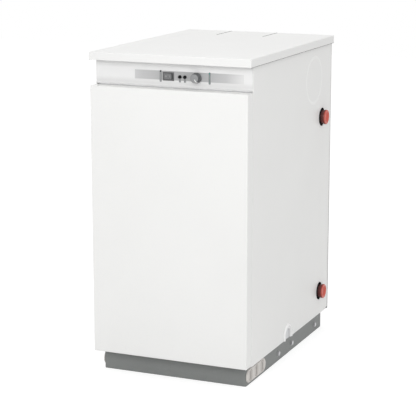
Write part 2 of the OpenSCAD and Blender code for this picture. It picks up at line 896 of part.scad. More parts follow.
module lid() {
    w = casing_w + 2 * lid_overhang;
    y0 = door_y0 + lid_front_set;
    color("white") difference() {
        translate([0, (y0 + lid_y1) / 2, lid_z0]) pan(w, lid_y1 - y0, lid_h, sheet_t, bend_r);
        span([flue_x - flue_slot_w / 2, lid_y1 - flue_slot_d, lid_z0 - over],
            [flue_x + flue_slot_w / 2, lid_y1 + over, casing_h + over]);
        span([flue_x - flue_slot_w / 2 - tongue_w - seam_gap, lid_y1 - bend_r,
            lid_z0 - over], [flue_x + flue_slot_w / 2 + tongue_w + seam_gap, lid_y1 + over,
            lid_under]);
    }
}

module flue_plate() {
    x0 = flue_x - flue_slot_w / 2;
    x1 = flue_x + flue_slot_w / 2;
    y0 = lid_y1 - flue_slot_d;
    z = lid_under - seam_gap;
    color("white") {
        span([x0 + flue_gap, y0 + seam_gap, z - over], [x1 - flue_gap, lid_y1, casing_h]);
        span([x0 - tongue_w, y0 - tongue_w, z - sheet_t],
            [x1 + tongue_w, lid_y1, z]);
        span([x0 - tongue_w, lid_y1 - sheet_t, lid_z0], [x1 + tongue_w, lid_y1, z]);
    }
}

// Fascia and its controls

// Section of the fascia in Y and Z: upright face, cove at the foot and a shelf behind it
module fascia_outline() {
    z0 = fascia_z0;
    z1 = panel_top - sheet_t - 2 * seam_gap;
    translate([face_y, z0 + cove_r]) square([fascia_t, z1 - z0 - cove_r]);
    translate([face_y + cove_r, z0]) square([fascia_shelf, fascia_t]);
    translate([face_y, z1 - fascia_t]) square([fascia_shelf, fascia_t]);
    translate([face_y + cove_r, z0 + cove_r]) intersection() {
        difference() {
            circle(cove_r);
            circle(cove_r - fascia_t);
        }
        translate([-cove_r, -cove_r]) square(cove_r);
    }
}

module fascia() {
    x = inner_x - seam_gap;
    color("whitesmoke") difference() {
        translate([-x, 0, 0]) rotate([90, 0, 90]) linear_extrude(2 * x) fascia_outline();
        translate([switch_x, face_y - over, strip_z]) rotate([-90, 0, 0])
            linear_extrude(fascia_t + 2 * over)
                square([switch_w - 2 * bezel_wall + 2 * seam_gap,
                    switch_h - 2 * bezel_wall + 2 * seam_gap], center = true);
        for (x = button_xs) translate([x, face_y - over, strip_z])
            rod_y(button_d + 2 * seam_gap, fascia_t + 2 * over);
        translate([knob_x, face_y - over, strip_z]) rod_y(bush_d, fascia_t + 2 * over);
    }
}

module fascia_strip() {
    color("silver") difference() {
        span([strip_x0, face_y - strip_t, strip_z - strip_h / 2],
            [strip_x1, face_y, strip_z + strip_h / 2]);
        translate([switch_x, face_y - strip_t - over, strip_z]) rotate([-90, 0, 0])
            linear_extrude(strip_t + 2 * over)
                square([switch_w - 2 * bezel_wall + 2 * seam_gap,
                    switch_h - 2 * bezel_wall + 2 * seam_gap], center = true);
        for (x = button_xs) translate([x, face_y - strip_t - over, strip_z])
            rod_y(button_d + 2 * seam_gap, strip_t + 2 * over);
        translate([knob_x, face_y - strip_t - over, strip_z])
            rod_y(bush_d, strip_t + 2 * over);
    }
}

// Pill outlines on the strip, two tall ones with a lens at the top and one under each button
module fascia_marks() {
    y = face_y - strip_t - mark_t;
    color("dimgray") {
        for (x = mark_xs) {
            translate([x, y, strip_z]) pill_ring(mark_w, mark_h, mark_t);
            translate([x, y - lens_t, strip_z + mark_h / 2 - mark_w / 2])
                rod_y(lens_d, lens_t + mark_t);
        }
        for (x = button_xs) translate([x, y, strip_z - button_mark_drop])
            pill_ring(button_mark_w, button_mark_h, mark_t);
    }
}
module pill_ring(w, h, t) {
    translate([0, t, 0]) rotate([90, 0, 0]) linear_extrude(t) difference() {
        slot_outline(w, h);
        slot_outline(w - 2 * mark_line, h - 2 * mark_line);
    }
}

// Body of the rocker switch: bezel, open well and housing behind the fascia
module switch_body() {
    y0 = face_y - strip_t - bezel_t;
    well_w = switch_w - 2 * bezel_wall;
    color("dimgray") translate([switch_x, y0, strip_z]) difference() {
        union() {
            span([-switch_w / 2, 0, -switch_h / 2], [switch_w / 2, bezel_t, switch_h / 2]);
            span([-well_w / 2, 0, -switch_h / 2 + bezel_wall],
                [well_w / 2, switch_depth, switch_h / 2 - bezel_wall]);
        }
        span([-well_w / 2 + bezel_wall / 2, -over, -switch_h / 2 + 1.5 * bezel_wall],
            [well_w / 2 - bezel_wall / 2, rocker_depth + 2 * bezel_wall,
            switch_h / 2 - 1.5 * bezel_wall]);
        translate([0, rocker_back, -switch_h / 2 + bezel_wall / 2 + bezel_wall / 4])
            cylinder(d = rocker_pin_d, h = switch_h - 1.5 * bezel_wall);
    }
}

// Rocker that tilts about an upright pin, shown switched off
module power_rocker() {
    y0 = face_y - strip_t - bezel_t;
    w = switch_w - 3 * bezel_wall - 2 * rocker_side_gap;
    h = switch_h - 3 * bezel_wall - 2 * seam_gap;
    rise = w / 2 * tan(rocker_swing / 2);
    color("black") translate([switch_x, y0 + rocker_back, strip_z])
        rotate([0, 0, -rocker_swing / 2]) {
            translate([0, 0, -h / 2]) linear_extrude(h)
                polygon([[-w / 2, -rocker_back - rise], [0, -rocker_back],
                    [w / 2, -rocker_back - rise], [w / 2 - rise, rocker_depth / 3],
                    [0, rocker_depth], [-w / 2 + rise, rocker_depth / 3]]);
            translate([0, 0, -h / 2 - bezel_wall / 2])
                cylinder(d = rocker_pin_d - 2 * run_gap, h = h + bezel_wall);
        }
}

// Control thermostat behind the knob and two limit devices behind the buttons
module thermostat_bodies() {
    y = face_y + fascia_t;
    color("dimgray") {
        difference() {
            union() {
                translate([knob_x, 0, strip_z])
                    span([-stat_w / 2, y, -stat_h / 2], [stat_w / 2, y + stat_d, stat_h / 2]);
                translate([knob_x, y - bush_l, strip_z])
                    rod_y(bush_d - 2 * seam_gap, bush_l + over);
            }
            translate([knob_x, y - bush_l - over, strip_z])
                rod_y(spindle_d + 2 * run_gap, bush_l + over + stat_d / 2);
        }
        for (x = button_xs) difference() {
            translate([x, 0, strip_z]) span([-limit_w / 2, y, -limit_h / 2],
                [limit_w / 2, y + limit_d, limit_h / 2]);
            translate([x, y - over, strip_z])
                rod_y(button_d + 2 * seam_gap, over + button_stem);
        }
    }
}

// Fluted knob with a raised pointer, on the spindle that it turns
module stat_knob() {
    y0 = knob_back - knob_l;
    y1 = knob_back;
    spindle_end = face_y + fascia_t + stat_d / 3;
    color("silver") translate([knob_x, 0, strip_z]) difference() {
        union() {
            difference() {
                union() {
                    translate([0, y0, 0]) rod_y(knob_d - knob_skirt_t, knob_l);
                    translate([0, y1 - knob_skirt_t, 0]) rod_y(knob_d, knob_skirt_t);
                }
                for (a = [0 : 360 / knob_flutes : 359]) rotate([0, a, 0])
                    translate([(knob_d - knob_skirt_t) / 2 + flute_d / 4, y0 - over, 0])
                        rod_y(flute_d, knob_l - 2 * knob_skirt_t + over);
                translate([0, y0 + knob_wall, 0])
                    rod_y(knob_d - knob_skirt_t - 2 * knob_wall, knob_l);
            }
            translate([0, y0 + knob_wall - over, 0])
                rod_y(spindle_d, spindle_end - y0 - knob_wall + over);
            rotate([0, -pointer_rest, 0]) span([0, y0 - pointer_stand, -pointer_w / 2],
                [(knob_d - knob_skirt_t) / 2 - flute_d, y0 + over, pointer_w / 2]);
        }
    }
}

// Push button with a collar behind the fascia; the collar stops it
module push_button(x) {
    y0 = face_y - strip_t - button_stand;
    color("black") translate([x, y0, strip_z])
        rod_y(button_d, button_stand + strip_t + fascia_t + button_stem - button_travel
            - seam_gap);
}
module reset_button() { push_button(button_xs[0]); }
module test_button() { push_button(button_xs[1]); }

// Tray behind the fascia that carries the wiring
module control_tray() {
    x = tray_w / 2;
    y0 = shell_y0 + sheet_t;
    y1 = y0 + cove_r + fascia_shelf;
    color("gainsboro") {
        span([-x, y0, tray_z], [x, y1 + tray_d, tray_z + sheet_t]);
        for (s = [0, 1]) mirror([s, 0, 0])
            span([x - sheet_t, y1, tray_z], [x, y1 + tray_d, tray_z + tray_wall]);
        translate(cable_start) cylinder(d = gland_d, h = gland_h + sheet_t);
    }
}

// Two phial tubes from the thermostats to the pocket in the boiler's top
module capillaries() {
    color("peru") for (r = capillary_routes) swept_tube(smooth_route(r, 3), capillary_d, 8);
}

// Cable from the control tray to the burner's control box
module burner_cable() {
    color("black") swept_tube(smooth_route(cable_route, 3), cable_d, 8);
}

// Boiler body

// Welded outer wrapper, open at the front
module water_jacket() {
    color("darkslategray") difference() {
        union() {
            difference() {
                span([-jacket_x, jacket_y0, jacket_z0], [jacket_x, jacket_y1, jacket_z1]);
                span([-jacket_x + plate_t, jacket_y0 - over, jacket_z0 + plate_t],
                    [jacket_x - plate_t, jacket_y1 - plate_t, jacket_z1 - plate_t]);
            }
            translate([pocket_x, pocket_y, jacket_z1 - pocket_l])
                cylinder(d = pocket_d, h = pocket_l + pocket_head);
        }
        for (z = [return_z, flow_z]) translate([-jacket_x - over, tail_y, z])
            rod_x(tail_bore, 2 * (jacket_x + over));
        span([-way_x - plate_t, way_y0 - plate_t, jacket_z1 - plate_t - over],
            [way_x + plate_t, way_y1 + plate_t, jacket_z1 + over]);
        translate([pocket_x, pocket_y, jacket_z1 - pocket_l + plate_t])
            cylinder(d = pocket_d - plate_t, h = pocket_l + pocket_head);
    }
}

// Front plate with the opening of the combustion chamber
module front_plate() {
    color("darkslategray") translate([0, front_plate_y, jacket_z0])
        frame_y(jacket_w, jacket_h, water_w + plate_t, plate_t);
}

// Inner firebox with ledges for the baffles and a neck up to the flue collector
module combustion_chamber() {
    x1 = chamber_x;
    color("saddlebrown") {
        difference() {
            union() {
                span([-x1, jacket_y0, chamber_z0], [x1, chamber_y1, chamber_z1]);
                span([-way_x - plate_t, way_y0 - plate_t, chamber_z1 - over],
                    [way_x + plate_t, way_y1 + plate_t, jacket_z1]);
            }
            span([-x1 + plate_t, jacket_y0 - over, chamber_z0 + plate_t],
                [x1 - plate_t, chamber_y1 - plate_t, chamber_z1 - plate_t]);
            span([-way_x, way_y0, chamber_z1 - plate_t - over], [way_x, way_y1,
                jacket_z1 + over]);
        }
        for (s = [0, 1]) mirror([s, 0, 0])
            span([x1 - plate_t - ledge_w, jacket_y0 + clean_board_t + board_gap,
                baffle_z - ledge_t], [x1 - plate_t, chamber_y1 - plate_t, baffle_z]);
    }
}

// Four baffle plates, each standing on the one below by its side legs
module baffles() {
    x = chamber_x - plate_t - baffle_gap;
    y0 = jacket_y0 + clean_board_t + board_gap;
    y1 = chamber_y1 - plate_t - baffle_gap;
    color("gray") for (i = [0 : baffle_count - 1]) {
        front = i % 2 == 0 ? 0 : baffle_back_gap;
        back = i % 2 == 0 ? baffle_back_gap : 0;
        translate([0, 0, baffle_z + i * baffle_rise]) {
            span([-x, y0 + front, baffle_rise - baffle_t], [x, y1 - back, baffle_rise]);
            for (s = [0, 1]) mirror([s, 0, 0])
                span([x - baffle_t, y0 + front, 0], [x, y1 - back, baffle_rise]);
        }
    }
}

// Cleaning door with its insulating board, bored for the blast tube
module cleaning_door() {
    w = 2 * (chamber_x - plate_t) + 2 * clean_over;
    z0 = chamber_z0 + plate_t - clean_over;
    z1 = chamber_z1 - plate_t + clean_over;
    bx = chamber_x - plate_t - board_gap;
    color("slategray") difference() {
        union() {
            span([-w / 2, clean_y0, z0], [w / 2, clean_y1, z1]);
            span([-bx, clean_y1 - over, chamber_z0 + plate_t + board_gap],
                [bx, jacket_y0 + clean_board_t, chamber_z1 - plate_t - board_gap]);
        }
        translate([0, clean_y0 - over, burner_z])
            rod_y(blast_d + 2 * tube_gap, clean_t + gasket_t + plate_t + clean_board_t
                + 2 * over);
    }
}

module cleaning_door_gasket() {
    w = 2 * (chamber_x - plate_t) + 2 * gasket_w;
    h = chamber_z1 - chamber_z0 - 2 * plate_t + 2 * gasket_w;
    color("ivory") translate([0, clean_y1, chamber_z0 + plate_t - gasket_w])
        frame_y(w, h, gasket_w, gasket_t);
}

// Studs welded to the front plate, with washers and hexagon nuts
module cleaning_door_nuts() {
    x = chamber_x - plate_t + clean_over - nut_edge;
    z0 = chamber_z0 + plate_t - clean_over;
    h = chamber_z1 - chamber_z0 - 2 * plate_t + 2 * clean_over;
    color("silver") for (s = [-1, 1], f = nut_share)
        translate([s * x, clean_y0, z0 + f * h]) {
            translate([0, -nut_h, 0]) rotate([-90, 0, 0])
                cylinder(d = nut_d, h = nut_h, $fn = 6);
            translate([0, -nut_stud_l + over, 0]) rod_y(nut_stud_d, nut_stud_l - over);
        }
}

// Box over the flue way with the round socket that takes the flue pipe
module flue_collector() {
    r = flue_bore_d / 2;
    color("slategray") difference() {
        union() {
            span([-collector_x, collector_y0, jacket_z1],
                [collector_x, collector_y1, collector_top]);
            translate([flue_x, flue_y, collector_top - over])
                cylinder(r = r + flue_wall, h = socket_z1 - collector_top + over);
        }
        span([-collector_x + collector_t, collector_y0 + collector_t, jacket_z1 - over],
            [collector_x - collector_t, jacket_y1 - collector_t,
            collector_top - collector_t]);
        translate([flue_x, flue_y, collector_top - collector_t - over])
            cylinder(r = r - flue_stop_w, h = socket_z1);
        translate([flue_x, flue_y, collector_top + flue_stop_h])
            cylinder(r = r, h = socket_z1);
        span([-collector_x + collector_t, jacket_y1 - collector_t - over,
            jacket_z1 + collector_t], [collector_x - collector_t,
            collector_y1 - collector_t, collector_top - collector_t]);
    }
}

// Mineral-wool wrap round the sides, back and top of the jacket
module insulation_wrap() {
    color("lightgray") difference() {
        span([-jacket_x - wrap_t, jacket_y0, jacket_z0],
            [jacket_x + wrap_t, jacket_y1 + wrap_t - plate_t, jacket_z1 + wrap_t]);
        span([-jacket_x, jacket_y0 - over, jacket_z0 - over],
            [jacket_x, jacket_y1, jacket_z1]);
        for (z = [return_z, flow_z])
            translate([-jacket_x - wrap_t - over, tail_y, z])
                rod_x(wrap_hole_d, 2 * (jacket_x + wrap_t + over));
        span([-collector_x - seam_gap, collector_y0 - seam_gap, jacket_z1 - over],
            [collector_x + seam_gap, jacket_y1 + wrap_t, jacket_z1 + wrap_t + over]);
        translate([pocket_x, pocket_y, jacket_z1 - over])
            cylinder(d = pocket_d + pass_gap, h = wrap_t + 2 * over);
    }
}

// Four steel tails: flow high and return low, on both sides
module pipe_tails() {
    color("dimgray") for (s = [0, 1], z = [return_z, flow_z])
        mirror([s, 0, 0]) translate([jacket_x, tail_y, z]) difference() {
            rod_x(tail_d, tail_end - jacket_x);
            translate([-over, 0, 0]) rod_x(tail_bore, tail_end - jacket_x + 2 * over);
        }
}

// Red transit plug: thick head with a chamfered rim, hollow spigot in the tail
module plug(side, z) {
    head_x = tail_end + seam_gap;
    spigot_d = tail_bore - 2 * seam_gap;
    color("indianred") mirror([side, 0, 0]) translate([head_x, tail_y, z])
        rotate([0, 90, 0]) rotate_extrude() difference() {
            polygon([[0, -plug_spigot], [spigot_d / 2 - plug_rim, -plug_spigot],
                [spigot_d / 2, -plug_spigot + plug_rim], [spigot_d / 2, 0],
                [plug_d / 2, 0], [plug_d / 2, plug_head - plug_rim],
                [plug_d / 2 - plug_rim, plug_head], [0, plug_head]]);
            translate([-over, -plug_spigot - over])
                square([spigot_d / 2 - plug_wall + over, plug_spigot + over]);
        }
}
module plug_flow_right() { plug(0, flow_z); }
module plug_return_right() { plug(0, return_z); }
module plug_flow_left() { plug(1, flow_z); }
module plug_return_left() { plug(1, return_z); }

// Burner

// Square mounting flange with rounded corners and four set screws
module burner_flange() {
    k = flange_bolt_share * flange_w;
    color("silver") {
        translate([0, clean_y0, burner_z]) rotate([90, 0, 0]) linear_extrude(flange_t)
            difference() {
                round_rect(flange_w, flange_w, flange_bolt_head);
                circle(d = blast_d + 2 * tube_gap);
            }
        for (sx = [-1, 1], sz = [-1, 1])
            translate([sx * k, flange_y0 - flange_bolt_t, burner_z + sz * k])
                rotate([-90, 0, 0])
                    cylinder(d = flange_bolt_head, h = flange_bolt_t, $fn = 6);
    }
}

module blast_tube() {
    l = clean_t + flange_t + gasket_t + plate_t + blast_in;
    color("gray") translate([0, flange_y0, burner_z]) difference() {
        rod_y(blast_d, l);
        translate([0, -over, 0]) rod_y(blast_d - 2 * blast_wall, l + 2 * over);
    }
}

// Nozzle line, slotted diffuser disc and the two ignition electrodes
module firing_head() {
    y1 = flange_y0 + clean_t + flange_t + gasket_t + plate_t + blast_in - nozzle_l;
    disc_d = blast_d - 2 * blast_wall - 2 * diffuser_gap;
    color("goldenrod") translate([0, 0, burner_z]) {
        translate([0, jet_y, 0]) rod_y(nozzle_rod_d, y1 - jet_y);
        translate([0, jet_y, 0]) sphere(d = nozzle_rod_d);
        translate([0, jet_y, 0]) rod_x(nozzle_rod_d, housing_x - cast_t);
        translate([0, y1, 0]) rotate([-90, 0, 0])
            cylinder(d = nozzle_hex_d, h = nozzle_l / 2, $fn = 6);
        difference() {
            translate([0, y1 + nozzle_l / 4, 0]) rod_y(disc_d, diffuser_t);
            for (a = [0 : 360 / diffuser_slots : 359]) rotate([0, a, 0])
                span([nozzle_hex_d, y1, -diffuser_t], [disc_d / 2 - cast_t,
                    y1 + nozzle_l, diffuser_t]);
        }
        span([-electrode_off, y1 - nozzle_l / 2 - diffuser_t, 0],
            [electrode_off, y1 - nozzle_l / 2 + diffuser_t, electrode_off]);
        for (s = [-1, 1]) translate([s * electrode_off, 0, electrode_off]) {
            translate([0, y1 - nozzle_l, 0]) rod_y(electrode_d, nozzle_l);
            translate([0, y1 - over, 0]) rod_y(electrode_wire_d, nozzle_l / 2 + over);
        }
    }
}

// Scroll and outlet duct in Y and Z about the fan's axis, grown by g and l long. The scroll
// opens out from behind the fan, below and in front of it, up to the duct's roof.
module scroll_outline(g, l) {
    z0 = burner_z - fan_z - duct_h / 2;
    growth = z0 + duct_h - scroll_r0;
    start = -asin((z0 - g) / (scroll_r0 + g));
    polygon([for (i = [0 : scroll_steps])
        let (a = start + (scroll_sweep - start) * i / scroll_steps)
        (scroll_r0 + g + growth * max(a, 0) / scroll_sweep) * [cos(a), -sin(a)],
        [l, z0 + duct_h + g], [l, z0 - g]]);
}

// Cast fan housing: a scroll that opens into the blast tube's duct
module burner_housing() {
    inner_w = 2 * (housing_x - cast_t);
    duct_l = flange_y0 - fan_y;
    color("slategray") translate([0, fan_y, fan_z]) difference() {
        translate([-housing_x, 0, 0]) rotate([90, 0, 90]) linear_extrude(2 * housing_x)
            scroll_outline(cast_t, duct_l);
        translate([-inner_w / 2, 0, 0]) rotate([90, 0, 90]) linear_extrude(inner_w)
            scroll_outline(0, duct_l - cast_t);
        translate([0, duct_l - cast_t - over, burner_z - fan_z])
            rod_y(blast_d - 2 * blast_wall, cast_t + 2 * over);
        rod_x(fan_d - 2 * blade_depth, housing_x + over);
        translate([-housing_x - over, 0, 0]) rod_x(fan_hub_d + pass_gap, housing_x);
    }
}

// Drum fan with forward-curved blades between a back plate and a rim
module fan_wheel() {
    x0 = -fan_w / 2;
    r = fan_d / 2;
    color("silver") translate([x0, fan_y, fan_z]) difference() {
        union() {
            rod_x(fan_d, rim_t);
            rod_x(fan_hub_d, fan_w / 2);
            translate([fan_w - rim_t, 0, 0]) difference() {
                rod_x(fan_d, rim_t);
                translate([-over, 0, 0]) rod_x(fan_d - 2 * blade_depth, rim_t + 2 * over);
            }
            for (a = [0 : 360 / blade_count : 359]) rotate([a, 0, 0])
                translate([0, 0, r - blade_depth]) rotate([90, 0, 90]) linear_extrude(fan_w)
                    blade_outline();
        }
        translate([-over, 0, 0]) rod_x(shaft_d, fan_w);
    }
}
// Section of one blade: a stretch of a thin ring, hollow side forward
module blade_outline() {
    translate([-blade_curve_r + blade_t, blade_depth / 2]) intersection() {
        difference() {
            circle(r = blade_curve_r, $fn = 48);
            circle(r = blade_curve_r - blade_t, $fn = 48);
        }
        translate([0, -blade_depth / 2]) square([blade_curve_r, blade_depth - rim_t / 4]);
    }
}

// Shaft from the motor through the fan to the oil pump, with its coupling
module drive_shaft() {
    x0 = -housing_x - shaft_in;
    x1 = housing_x + box_l + pump_hub_l;
    color("silver") translate([0, fan_y, fan_z]) {
        translate([x0, 0, 0]) rod_x(shaft_d - 2 * run_gap, x1 - x0);
        translate([fan_w / 2 + rim_t, 0, 0]) rod_x(coupling_d, coupling_l);
    }
}

// Motor with cooling fins and an end cap
module burner_motor() {
    l = motor_l - motor_cap_l;
    color("dimgray") translate([-housing_x, fan_y, fan_z]) mirror([1, 0, 0]) difference() {
        union() {
            rod_x(motor_flange_d, motor_flange_t);
            rod_x(motor_d - 2 * motor_fin_h, motor_l);
            translate([l, 0, 0]) rod_x(motor_d, motor_cap_l - bend_r);
            for (a = [0 : 360 / motor_fin_count : 359]) rotate([a, 0, 0])
                span([0, -motor_fin_t / 2, motor_d / 2 - 3 * motor_fin_h],
                    [l + over, motor_fin_t / 2, motor_d / 2]);
        }
        translate([-over, 0, 0]) rod_x(shaft_d, shaft_in + 2 * over);
    }
}

// Intake box on the fan's open side, open below where the damper hangs
module air_box() {
    x0 = housing_x;
    color("slategray") translate([x0, fan_y, fan_z]) difference() {
        span([0, -box_d / 2, -box_h / 2], [box_l, box_d / 2, box_h / 2]);
        span([-over, -box_d / 2 + cast_t, -box_h / 2 - over],
            [box_l - cast_t, box_d / 2 - cast_t, box_h / 2 - cast_t]);
        rod_x(shaft_d + pass_gap, box_l + over);
        translate([box_l / 2, -box_d / 2 - over, -box_h / 2 + damper_drop])
            rod_y(damper_pin_d + 2 * run_gap, box_d + 2 * over);
    }
}

// Flap in the intake, on a pin across the box, set open
module air_damper() {
    w = box_d - 2 * cast_t - 2 * damper_gap;
    x = box_l - cast_t - 2 * damper_gap;
    color("silver") translate([housing_x + box_l / 2, fan_y, fan_z - box_h / 2 + damper_drop]) {
        translate([0, -box_d / 2 - damper_gap, 0])
            rod_y(damper_pin_d, box_d + 2 * damper_gap);
        rotate([0, -damper_open, 0]) span([-x / 2 + damper_gap, -w / 2, -damper_t / 2],
            [x / 2 - damper_gap, w / 2, damper_t / 2]);
    }
}

// Gear pump with its hub, ports and solenoid coil
module oil_pump() {
    x0 = housing_x + box_l;
    color("dimgray") translate([x0, fan_y, fan_z]) difference() {
        union() {
            rod_x(pump_hub_d, pump_hub_l);
            translate([pump_hub_l, 0, 0]) rod_x(pump_d, pump_l - pump_hub_l);
            translate([pump_l - pump_hub_l, 0, hose_rise]) rod_x(pump_port_d, pump_port_l);
            translate([pump_l / 2 + pump_hub_l / 2, 0, 0]) cylinder(d = coil_d - pump_hub_l,
                h = pump_d / 2 + pump_hub_l);
            translate([pump_l / 2 + pump_hub_l / 2, 0, pump_d / 2 + pump_hub_l])
                cylinder(d = coil_d, h = coil_l);
        }
        translate([-over, 0, 0]) rod_x(shaft_d, pump_hub_l + 2 * over);
        translate([pump_l / 2, pump_d / 2 - 2 * over, 0])
            rod_y(jet_pipe_d, 3 * over);
    }
}

// Burner control box on top of the housing's duct
module control_box() {
    z0 = burner_z + duct_h / 2 + cast_t;
    y1 = flange_y0 - ctrl_r;
    color("dimgray") translate([0, y1 - ctrl_d / 2, z0]) difference() {
        pan_block(ctrl_w, ctrl_d, ctrl_h, ctrl_r);
        translate([0, -ctrl_d / 2 - over, ctrl_h / 2])
            rod_y(reset_d + 2 * seam_gap, reset_depth + over);
    }
}

// Red reset button with the lockout lamp in it
module burner_reset() {
    z0 = burner_z + duct_h / 2 + cast_t;
    y = flange_y0 - ctrl_r - ctrl_d;
    color("red") translate([0, y - reset_stand, z0 + ctrl_h / 2])
        rod_y(reset_d, reset_stand + reset_depth - reset_travel - seam_gap);
}

// Pipe from the pump's outlet up to the nozzle line, with a union nut on the housing
module jet_pipe() {
    x = housing_x + box_l + pump_l / 2;
    y0 = fan_y + pump_d / 2 - 2 * over;
    color("peru") {
        translate([x, y0, fan_z]) rod_y(jet_pipe_d, jet_y - y0);
        translate([x, jet_y, fan_z]) sphere(d = jet_pipe_d);
        translate([x, jet_y, fan_z]) cylinder(d = jet_pipe_d, h = burner_z - fan_z);
        translate([x, jet_y, burner_z]) sphere(d = jet_pipe_d);
        translate([housing_x, jet_y, burner_z]) rod_x(jet_pipe_d, x - housing_x);
        translate([housing_x, jet_y, burner_z]) rotate([0, 90, 0])
            cylinder(d = jet_nut_d, h = jet_nut_l, $fn = 6);
    }
}

// Oil line

// Isolating valve: pipe socket below, bonnet to the front, outlet boss up to the filter
module oil_valve() {
    color("goldenrod") translate([valve_x, valve_y, valve_z0]) difference() {
        union() {
            cylinder(d = valve_d, h = valve_h);
            translate([0, -valve_d / 2 - bonnet_l, valve_h / 2])
                rod_y(bonnet_d, bonnet_l + valve_d / 2);
        }
        translate([0, 0, -over]) cylinder(d = oil_pipe_d, h = valve_h / 3 + over);
    }
}

// Lever on the valve's spindle, in line with the pipe when open
module valve_lever() {
    y1 = -valve_d / 2 - bonnet_l - lever_gap;
    color("red") translate([valve_x, valve_y + y1, valve_z0 + valve_h / 2]) {
        translate([0, -lever_t, 0]) rod_y(lever_hub_d, lever_t);
        translate([0, 0, lever_l / 2]) rotate([90, 0, 0]) linear_extrude(lever_t)
            slot_outline(lever_w, lever_l + lever_w);
    }
}

// Filter head with its bowl, on a bracket that stands on the tray
module oil_filter() {
    z0 = valve_z0 + valve_h;
    x0 = filter_x - head_w / 2;
    x1 = valve_x + valve_d / 2;
    color("silver") {
        span([x0, valve_y - head_w / 2, z0], [x1, valve_y + head_w / 2, z0 + head_h]);
        translate([filter_x, valve_y, z0 - bowl_h])
            cylinder(d = bowl_d, h = bowl_h + over);
        translate([filter_x, valve_y, z0 + head_h - over])
            cylinder(d = port_boss_d, h = port_boss_h + over);
        span([x0, valve_y + head_w / 2, floor_z],
            [x1, valve_y + head_w / 2 + oil_bracket_t, z0 + head_h]);
        span([x0, valve_y + head_w / 2, floor_z],
            [x1, valve_y + head_w + oil_bracket_t, floor_z + oil_bracket_t]);
    }
}

// Braided hose from the filter to the pump
module oil_hose() {
    color("gray") swept_tube(smooth_route(hose_route, 4), hose_d, 10);
}

plinth();
plinth_bolts();
entry_plates();
base_tray();
boiler_skids();
side_panel_right();
side_panel_left();
notch_grommets();
back_panel();
panel_screws();
catch_rail();
magnetic_catches();
hinge_brackets();
front_door();
door_pad();
lid();
flue_plate();
fascia();
fascia_strip();
fascia_marks();
switch_body();
power_rocker();
thermostat_bodies();
stat_knob();
reset_button();
test_button();
control_tray();
capillaries();
burner_cable();
water_jacket();
front_plate();
combustion_chamber();
baffles();
cleaning_door();
cleaning_door_gasket();
cleaning_door_nuts();
flue_collector();
insulation_wrap();
pipe_tails();
plug_flow_right();
plug_return_right();
plug_flow_left();
plug_return_left();
burner_flange();
blast_tube();
firing_head();
burner_housing();
burner_motor();
fan_wheel();
drive_shaft();
air_box();
air_damper();
oil_pump();
jet_pipe();
control_box();
burner_reset();
oil_hose();
oil_filter();
oil_valve();
valve_lever();
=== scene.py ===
import json
import math

import bmesh
import bpy
from mathutils import Matrix, Vector, noise


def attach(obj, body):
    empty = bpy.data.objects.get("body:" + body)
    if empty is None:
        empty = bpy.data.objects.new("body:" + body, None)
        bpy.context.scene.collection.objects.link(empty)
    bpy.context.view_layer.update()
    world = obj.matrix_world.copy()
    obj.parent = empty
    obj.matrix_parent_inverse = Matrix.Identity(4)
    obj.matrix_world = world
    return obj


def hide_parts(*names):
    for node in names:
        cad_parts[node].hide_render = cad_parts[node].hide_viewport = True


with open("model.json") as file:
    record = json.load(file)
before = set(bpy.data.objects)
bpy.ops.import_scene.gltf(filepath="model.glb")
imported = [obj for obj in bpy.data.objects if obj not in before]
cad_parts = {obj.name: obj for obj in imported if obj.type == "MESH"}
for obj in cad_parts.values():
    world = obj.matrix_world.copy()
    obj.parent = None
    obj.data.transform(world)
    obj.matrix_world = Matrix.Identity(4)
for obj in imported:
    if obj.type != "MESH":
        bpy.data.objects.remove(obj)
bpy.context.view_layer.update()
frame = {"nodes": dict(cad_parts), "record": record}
nodes = frame["nodes"]
bodyOf = {node: body for body, members in frame["record"]["behaviour"]["bodies"].items()
          for node in members}
slotOf = {part["node"]: part["material_slot"] for part in frame["record"]["subparts"]}
scene = bpy.context.scene
mm = 0.001
toMetres = Matrix.Scale(mm, 4)
print("frame loaded:", len(nodes), "nodes")

# camera and studio
cameraSettings = {"place": (1.58664, -3.77862, 1.29714), "azimuth": 23.118, "pitch": 12.328,
                  "focalPixels": 1509.3, "imageWidth": 416, "sensor": 36.0, "clipEnd": 60}


def makeCamera(place, azimuth, pitch, focalPixels, imageWidth, sensor, clipEnd):
    data = bpy.data.cameras.new("studioCamera")
    data.sensor_width, data.clip_end = sensor, clipEnd
    data.lens = focalPixels * sensor / imageWidth
    camera = bpy.data.objects.new("studioCamera", data)
    camera.location = place
    camera.rotation_euler = (math.radians(90 - pitch), 0, math.radians(azimuth))
    scene.collection.objects.link(camera)
    scene.camera = camera


makeCamera(**cameraSettings)

studioSettings = {
    "worldColour": (1, 1, 0.995), "worldStrength": 0.68, "backdropWhite": 1.0,
    "floorSize": 14.0, "floorColour": 0.80, "floorGlow": 0.5, "floorGlowStrength": 1.52,
    "lamps": [  # name, place, aim, width, height, watts
        ("frontLamp", (0.3, -2.3, 1.6), (0, -0.3, 1.4), 1.8, 1.0, 17.5),
        ("sideLamp", (2.9, -2.3, 1.5), (0, -0.3, 0.4), 2.0, 2.0, 12.5),
        ("topLamp", (-0.3, 0.3, 3.6), (0, 0, 0.8), 2.0, 2.0, 15),
    ],
}


def addNode(tree, kind, inputs=(), **fields):  # inputs: a value or another node's output each
    made = tree.nodes.new(kind)
    for name, value in fields.items():
        setattr(made, name, value)
    for name, value in dict(inputs).items():
        socket = made.inputs[name]
        if isinstance(value, bpy.types.NodeSocket):
            tree.links.new(value, socket)
        else:
            socket.default_value = (*value, 1) if socket.type == "RGBA" else value
    return made


def emptyTree(owner):
    owner.use_nodes = True
    owner.node_tree.nodes.clear()
    return owner.node_tree


